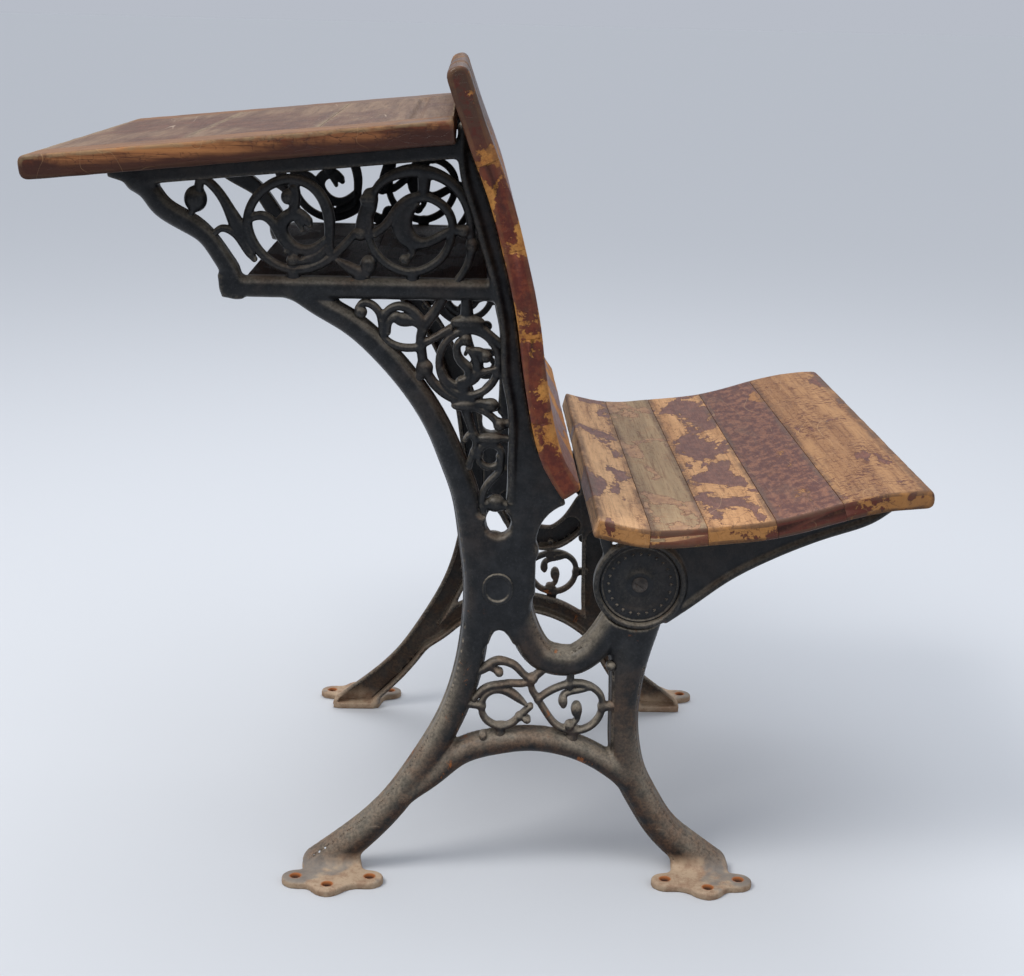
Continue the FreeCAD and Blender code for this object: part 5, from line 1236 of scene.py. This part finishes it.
def wood(name, palette, seed, along="y", varnish=0.5, gloss=0.42, worn=0.7, patch=26.0, streaks=0.5,
        end_varnish=None, scratches=0.3, flecks=0.4, cracks=0.5, soft=0.008, rub=0.5, shaded=0.0,
        sooty=None):
    """Old varnished wood: grain along the board, islands of varnish, grey worn corners."""
    s = Shader(name)
    move = (3.1 * seed, 1.7 * seed, 2.3 * seed)

    def grain(across, lengthwise):
        return s.scaled([lengthwise if axis == along else across for axis in "xyz"], move=move)

    figure = s.noise(grain(60, 2.7), 1, 5, 0.6, 0.6)
    fibre = s.noise(grain(260, 11.7), 1, 5, 0.65, 0.2)
    pores = s.noise(grain(900, 40.5), 1, 3, 0.6)
    bare = s.mix(s.steps(figure, 0.32, 0.68), palette["bare"], palette["bare_dark"])
    bare = s.mix(s.times(s.steps(fibre, 0.50, 0.68), streaks), bare, palette["streak"])
    bare = s.mix(s.times(s.steps(pores, 0.58, 0.72), 0.5), bare, palette["streak"])
    craze = grain(110, 55)
    bend = s.node("VectorMath", operation="ADD")
    bend = s.fill(bend, {0: craze, 1: s.noise(craze, 1.4, 2, 0.5, 0, "Color")})
    cells = s.fill(s.node("TexVoronoi", feature="DISTANCE_TO_EDGE"), {"Vector": bend[0], "Scale": 1})
    crack = s.steps(cells["Distance"], 0.030, 0.008)
    crack = s.times(crack, s.steps(figure, 0.40, 0.60))
    islands = s.noise(grain(patch, 0.45 * patch), 1, 7, 0.60, 0.4)
    fleck = s.steps(s.noise(grain(129.6, 360), 1, 4, 0.6, 0.3), 0.52, 0.59)
    fleck = s.times(fleck, s.steps(islands, 0.38, 0.56))
    bare = s.mix(s.times(fleck, 0.8 * flecks), bare, palette["varnish"])
    small = s.noise(grain(5.5 * patch, 3.3 * patch), 1, 6, 0.7)
    is_end = s.steps(s.math("ABSOLUTE", s.part("Normal", 1)), 0.6, 0.8)
    ragged = s.plus(s.times(is_end, 0.20), 0.17)
    cover = s.plus(islands, s.times(s.less(small, 0.5), ragged))
    arris = s.mark("arris")
    cover = s.less(cover, s.times(arris, 0.12 * worn))
    edge = 0.5 + (0.5 - varnish) * 0.42
    if end_varnish is not None:
        cover = s.plus(cover, s.times(is_end, (end_varnish - varnish) * 0.42))
    coat = s.steps(cover, edge - soft, edge + soft)
    coat_colour = s.mix(s.steps(small, 0.42, 0.62), palette["varnish"], palette["varnish_light"])
    coat_colour = s.mix(s.times(s.steps(fibre, 0.52, 0.62), 0.4), coat_colour, palette["varnish"])
    if "end" in palette:
        bare = s.mix(s.times(is_end, 0.75), bare, palette["end_bare"])
        coat_colour = s.mix(s.times(is_end, 0.85), coat_colour, palette["end"])
    base = s.mix(coat, bare, coat_colour)
    brink = s.steps(s.apart(cover, edge), 0.012, 0.003, 0, 0.008 / soft)
    base = s.mix(s.times(s.math("MAXIMUM", brink, crack), cracks), base, palette["streak"])
    if sooty:
        soot = s.times(s.steps(s.part("Object", 2), *sooty), s.steps(small, 0.38, 0.52, 0.25, 0.92))
        base = s.mix(soot, base, palette["dirt"])
    if shaded:
        shade = s.plus(s.mark("shade"), s.times(s.less(islands, 0.5), 1.2))
        base = s.mix(s.times(s.steps(shade, 0.25, 0.62), shaded), base, palette["varnish"])
        base = s.mix(s.steps(s.part("Normal", 2), 0.70, 0.92, 0, 0.75), base, palette["top"])
    dirt = s.noise(s.scaled((30, 12, 30), move=move), 1, 6, 0.65)
    base = s.mix(s.times(s.steps(dirt, 0.5, 0.75), 0.45), base, palette["dirt"])
    uneven = s.noise(s.scaled((40, 22, 40), move=move), 1, 6, 0.65)
    rubbed = s.times(s.steps(arris, 0.25, 0.95), s.steps(uneven, 0.34, 0.58))
    if shaded:
        rubbed = s.times(rubbed, s.steps(shade, 0.60, 0.30, 0.1, 1.0))
    base = s.mix(s.times(rubbed, rub), base, palette["worn"])
    line = s.noise(s.scaled((26, 5, 26), (0.2, 0.1, 0.5 + seed), move), 1, 1, 0.4)
    scratch = s.steps(s.apart(line, 0.5), 0.0035, 0.0012)
    thin = s.noise(s.scaled((14, 14, 14), move=move), 1, 4, 0.6)
    scratch = s.times(scratch, s.steps(thin, 0.50, 0.60))
    base = s.mix(s.times(scratch, scratches), base, palette["scratch"])
    rough = s.plus(s.times(coat, gloss - 0.66), 0.66)
    rough = s.plus(rough, s.steps(pores, 0.3, 0.7, -0.05, 0.07))
    normal = s.bump(coat, 0.00025, 0.8)
    normal = s.bump(crack, -0.0003, 0.6, normal)
    normal = s.bump(fibre, 0.0005, 0.32, normal)
    normal = s.bump(pores, 0.00025, 0.35, normal)
    normal = s.bump(scratch, -0.0002, 0.5, normal)
    return s.finish(base, rough, normal, shine=0.3)


# The castings and their steel
IRON = iron("iron_black")
STEEL = steel("old_steel")


def both_sides(name, shape, material=IRON, body="frame", replaced="{}_standard"):
    """The right piece of a casting, and the left one as its mirror copy."""
    corners, faces, *holes = shape
    for side, sign in SIDES:
        placed = corners.copy()
        placed[:, 1] = sign * (OUTER_FACE - corners[:, 1])
        if sign > 0:
            faces = faces[:, ::-1] if isinstance(faces, np.ndarray) else [face[::-1] for face in faces]
        piece = mesh_piece(f"{name}_{side}", placed, faces, material)
        if holes:
            add_marks(piece, "hole", holes[0])
        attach(piece, body)
        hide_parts(replaced.format(side))


both_sides("bars", bars())
both_sides("column_plate", number_plate())
for name, limits in SCROLL_PANELS.items():
    both_sides(name, scroll_panel(*limits))
for name, (foot_share, mid_side), bar in zip(("foot_desk", "foot_seat"), FOOT_SHARES, (BARS[0], BARS[2])):
    both_sides(name, foot(foot_share, mid_side, share_line(*bar)))
both_sides("arm", seat_arm(), body="seat", replaced="seat_arm_{}")
both_sides("cap", hinge_cap(), body="seat", replaced="hinge_cap_{}")
both_sides("bolt", hinge_bolt(), STEEL, replaced="hinge_bolt_{}")
for name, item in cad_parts.items():
    if "screws" in name or "washer" in name or "nut" in name:
        item.data.materials.clear()
        item.data.materials.append(STEEL)

# The wood
TONES = ("bare", "bare_dark", "streak", "varnish", "varnish_light", "dirt", "worn", "scratch")


def colours(*tones, **more):
    """Colours of a kind of wood, in the order of TONES, and any that only it has."""
    return {name: colour(*tone) for name, tone in {**dict(zip(TONES, tones)), **more}.items()}


def tinted(like, **changes):
    return {**like, **colours(**changes)}


DESK_WOOD = colours((140, 116, 96), (112, 90, 78), (86, 64, 54), (92, 64, 52), (112, 78, 62),
    (88, 74, 68), (150, 134, 108), (200, 180, 158))
CLEAT_WOOD = colours((184, 126, 78), (128, 80, 52), (72, 40, 28), (60, 31, 23), (110, 60, 38),
    (66, 42, 32), (150, 128, 96), (206, 166, 120), top=(126, 98, 78))
SHELF_WOOD = colours((84, 62, 52), (60, 44, 38), (44, 32, 28), (52, 36, 30), (72, 50, 40), (46, 38, 36),
    (96, 76, 62), (120, 98, 82))
BACK_WOOD = colours((208, 148, 78), (176, 114, 58), (120, 68, 38), (90, 38, 30), (122, 60, 40),
    (72, 54, 44), (150, 112, 74), (214, 170, 116))
SEAT_WOOD = colours((206, 156, 100), (172, 124, 80), (104, 66, 46), (92, 50, 42), (128, 78, 58),
    (116, 90, 72), (98, 74, 60), (222, 184, 140), end=(94, 44, 34), end_bare=(186, 130, 72))

# Looks of the seat's slats: varnish left on top and on the ends, flecks, colours
SEAT_LOOKS = [
    # First slat: lighter, paler colours, a painted reflection of the sky
    (0.36, 0.40, 0.6, tinted(SEAT_WOOD, bare=(222, 178, 132), bare_dark=(190, 146, 106),
                             varnish=(112, 76, 68), varnish_light=(140, 98, 84))),
    (0.42, 0.75, 0.9, tinted(SEAT_WOOD, bare=(178, 152, 118), bare_dark=(142, 120, 94),
                             varnish=(160, 118, 86), varnish_light=(184, 142, 102), dirt=(136, 112, 90))),
    (0.47, 0.42, 0.9, tinted(SEAT_WOOD, bare=(222, 172, 122), bare_dark=(190, 142, 98),
                             varnish=(108, 68, 58), varnish_light=(134, 90, 74))),
    (0.80, 0.85, 0.4, tinted(SEAT_WOOD, bare=(150, 106, 74), varnish_light=(142, 94, 70))),
    # Last slat: darker colours, painted shade
    (0.26, 0.60, 1.2, tinted(SEAT_WOOD, bare=(180, 136, 94), bare_dark=(150, 108, 74)))]

half_width = BOARD_WIDTH / 2
desk_half = half_width - DESK_CLEAT_WIDTH - JOINT_GAP
groove_middle = desk_place(1) - desk_along * GROOVE_INSET + desk_up * DESK_THICKNESS
groove_radius = ((GROOVE_WIDTH / 2) ** 2 + GROOVE_DEPTH ** 2) / (2 * GROOVE_DEPTH)
groove_half_length = half_width - DESK_CLEAT_WIDTH - GROOVE_WIDTH


def pencil_groove(point, y):
    """Depth of the groove under a place on the desk top."""
    across = (point - groove_middle) @ desk_along
    above = (point - groove_middle) @ desk_up
    if abs(across) > GROOVE_WIDTH / 2 or above < -DESK_THICKNESS / 2:
        return 0.0
    fade = min(1.0, max(0.0, (groove_half_length - abs(y)) / GROOVE_FADE))
    return fade * (math.sqrt(groove_radius ** 2 - across ** 2) - groove_radius + GROOVE_DEPTH)


def below_top(point):
    """How far down a desk board's side a place is, as a share of its thickness."""
    return 1 - (point - desk_low) @ desk_up / DESK_THICKNESS


def row_of_boards(count):
    """Each board's number, whether it is the first or last of the row, and its gaps."""
    for i in range(count):
        first, last = i == 0, i == count - 1
        yield i, (first, last), 0 if first else JOINT_GAP / 2, 0 if last else JOINT_GAP / 2


for i, open_ends, front_gap, rear_gap in row_of_boards(3):
    nose = DESK_NOSE if i == 0 else DESK_CORNER
    look = dict(palette=DESK_WOOD, seed=3 + i, varnish=0.45, gloss=0.5, patch=10, worn=0.5,
        scratches=0.5, flecks=0.3, soft=0.09)
    fine = dict(spacing=0.002, station=0.004, dent=pencil_groove) if i == 2 else {}
    sides = desk_sides(*DESK_BOARD_JOINT_SHARES[i:i + 2], front_gap, rear_gap)
    board("desk_board_" + ("front", "middle", "rear")[i], sides, -desk_half, desk_half,
        [nose, DESK_CORNER, DESK_CORNER, nose], look, "desk_wood", 20 + i, ends=(DESK_END, DESK_END),
        open_ends=open_ends, chips=0.1, **fine)
for side, sign in SIDES:
    look = dict(palette=CLEAT_WOOD, seed=8 + sign, along="x", varnish=0.4, gloss=0.4, patch=15,
        streaks=0.95, worn=0.2, end_varnish=0.5, flecks=0.6, cracks=0.8, soft=0.07, rub=0.6, shaded=0.95)
    inner = sign * (half_width - DESK_CLEAT_WIDTH)
    outer = sign * half_width
    board("desk_cleat_" + side, desk_sides(0, 1), min(inner, outer), max(inner, outer),
        [DESK_NOSE, CLEAT_CORNER, CLEAT_CORNER, DESK_NOSE], look, "desk_wood", 30 + sign,
        ends=(DESK_END, CLEAT_END)[::sign], open_ends=(True, True), spacing=0.004, chips=0.2,
        shade=below_top)

shelf_half = OUTER_FACE - CASTING_DEPTH - SHELF_END_GAP
shelf_middle = (shelf_front + shelf_rear) / 2
for name, start, end in (("front", shelf_front, shelf_middle - JOINT_GAP / 2),
        ("rear", shelf_middle + JOINT_GAP / 2, shelf_rear)):
    look = dict(palette=SHELF_WOOD, seed=12 + start, varnish=0.55, gloss=0.5, patch=16, worn=0.4)
    sides = four_sides(rectangle(start, shelf_top - SHELF_THICKNESS, end, shelf_top))
    board("book_shelf_board_" + name, sides, -shelf_half, shelf_half, [SHELF_CORNER] * 4, look,
        "shelf_wood", 40, ends=(SHELF_END, SHELF_END))

for i, open_ends, top_gap, low_gap in row_of_boards(BACK_BOARD_COUNT):
    start = back_length * i / BACK_BOARD_COUNT + top_gap
    end = back_length * (i + 1) / BACK_BOARD_COUNT - JOINT_GAP / 2
    nose = NOSE_SHARE * BACK_THICKNESS if i == 0 else 0
    top = BACK_TOP_CORNER if i == 0 else BACK_CORNER
    low = BACK_LOW_CORNER if open_ends[1] else BACK_CORNER
    look = dict(palette=BACK_WOOD, seed=5.0, varnish=0.62, gloss=0.36, patch=20, worn=0.1,
        end_varnish=0.70, flecks=0.25, rub=0.2, sooty=(0.64, 0.73))
    sides = curved_sides(lengthened(back_line, nose, 0), start, end + nose, 0, BACK_THICKNESS)
    board(f"back_board_{BACK_BOARD_COUNT - i}", sides, -half_width, half_width, [top, low, low, top],
        look, "back_wood", 50, open_ends=open_ends, chips=0.3 if any(open_ends) else 0.0)

for i, open_ends, rear_gap, front_gap in row_of_boards(len(SEAT_LOOKS)):
    varnish, end_varnish, flecks, tones = SEAT_LOOKS[i]
    joints = [np.interp(SEAT_SHARES[k][0] * OVERALL_LENGTH, seat_line[:, 0], marks_along(seat_line))
        for k in SEAT_JOINTS[i:i + 2]]
    nose = NOSE_SHARE * SEAT_THICKNESS if open_ends[1] else 0
    start = joints[0] + rear_gap
    end = joints[1] - front_gap + nose
    sides = curved_sides(lengthened(seat_line, 0, nose), start, end, -SEAT_THICKNESS, 0)
    rear = SEAT_REAR_CORNER if i == 0 else SEAT_CORNER
    front = SEAT_FRONT_CORNER if open_ends[1] else SEAT_CORNER
    look = dict(palette=tones, seed=31 + 1.37 * i, varnish=varnish, patch=24, worn=0.15, rub=0.75,
        end_varnish=end_varnish, flecks=flecks, cracks=0.7)
    board(f"seat_slat_{i + 1}", sides, -half_width, half_width, [rear, front, front, rear], look,
        "seat_wood", 60 + i, "seat", open_ends=open_ends, chips=0.35 if open_ends[1] else 0.0)

# Floor, backdrop, lights and camera
FLOOR_SIZE = 200
FLOOR_COLOUR = colour(216, 220, 226)
FLOOR_BOUNCE = colour(110, 108, 106)
HORIZON = (0.478, 0.507, 0.570, 1)
SKY_BANDS = ((0.0, HORIZON), (0.03, HORIZON), (0.12, (0.27, 0.29, 0.33, 1)),
    (0.95, (0.90, 0.92, 0.96, 1)))
floor = Shader("floor")
rays = floor.node("LightPath").outputs
seen = floor.math("MAXIMUM", rays["Is Camera Ray"], rays["Is Glossy Ray"])
floor_corners = np.column_stack([rectangle(-FLOOR_SIZE, -FLOOR_SIZE, FLOOR_SIZE, FLOOR_SIZE), [0.0] * 4])
floor_look = floor.finish(floor.mix(seen, FLOOR_BOUNCE, FLOOR_COLOUR), 0.85)
mesh_piece("floor", floor_corners, [(0, 1, 2, 3)], floor_look, False)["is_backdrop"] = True
scene = bpy.context.scene
scene.world = bpy.data.worlds.new("studio")
scene.world.use_nodes = True
sky = scene.world.node_tree
ramp = sky.nodes.new("ShaderNodeValToRGB")
split = sky.nodes.new("ShaderNodeSeparateXYZ")
sky.links.new(sky.nodes.new("ShaderNodeTexCoord").outputs["Generated"], split.inputs[0])
sky.links.new(split.outputs["Z"], ramp.inputs[0])
sky.links.new(ramp.outputs[0], sky.nodes["Background"].inputs["Color"])
bands = ramp.color_ramp.elements
for spot, tone in SKY_BANDS[1:-1]:
    bands.new(spot)
for band, (spot, tone) in zip(bands, SKY_BANDS):
    band.position = spot
    band.color = tone


def area_light(name, spot, power, size, tone, aim=(0, 0, 0.4)):
    light = bpy.data.lights.new(name, "AREA")
    light.energy = power
    light.size = size
    light.color = tone
    item = bpy.data.objects.new(name, light)
    item.location = spot
    item.rotation_euler = (Vector(aim) - Vector(spot)).to_track_quat("-Z", "Y").to_euler()
    scene.collection.objects.link(item)


area_light("key", (-1.5, -1.1, 2.7), 46, 1.2, (1.0, 0.97, 0.93))
area_light("fill", (2.2, -1.6, 1.4), 7, 1.6, (0.92, 0.96, 1.0))
area_light("rim", (0.4, 1.6, 2.6), 16, 1.4, (1.0, 1.0, 1.0))

CAMERA_PLACE = (-0.0251, -1.7549, 0.7975)
CAMERA_LENS = 61.72
CAMERA_SENSOR = 36
CAMERA_DOWN = math.radians(15.01)
CAMERA_YAW = math.radians(1.78)
CAMERA_ROLL = math.radians(-1.37)
camera_data = bpy.data.cameras.new("camera")
camera_data.lens = CAMERA_LENS
camera_data.sensor_width = CAMERA_SENSOR
camera = bpy.data.objects.new("camera", camera_data)
camera.matrix_world = (Matrix.Translation(CAMERA_PLACE) @ Matrix.Rotation(-CAMERA_YAW, 4, "Z")
    @ Matrix.Rotation(math.pi / 2 - CAMERA_DOWN, 4, "X") @ Matrix.Rotation(-CAMERA_ROLL, 4, "Z"))
scene.collection.objects.link(camera)
scene.camera = camera
scene.view_settings.view_transform = "Standard"

low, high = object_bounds()
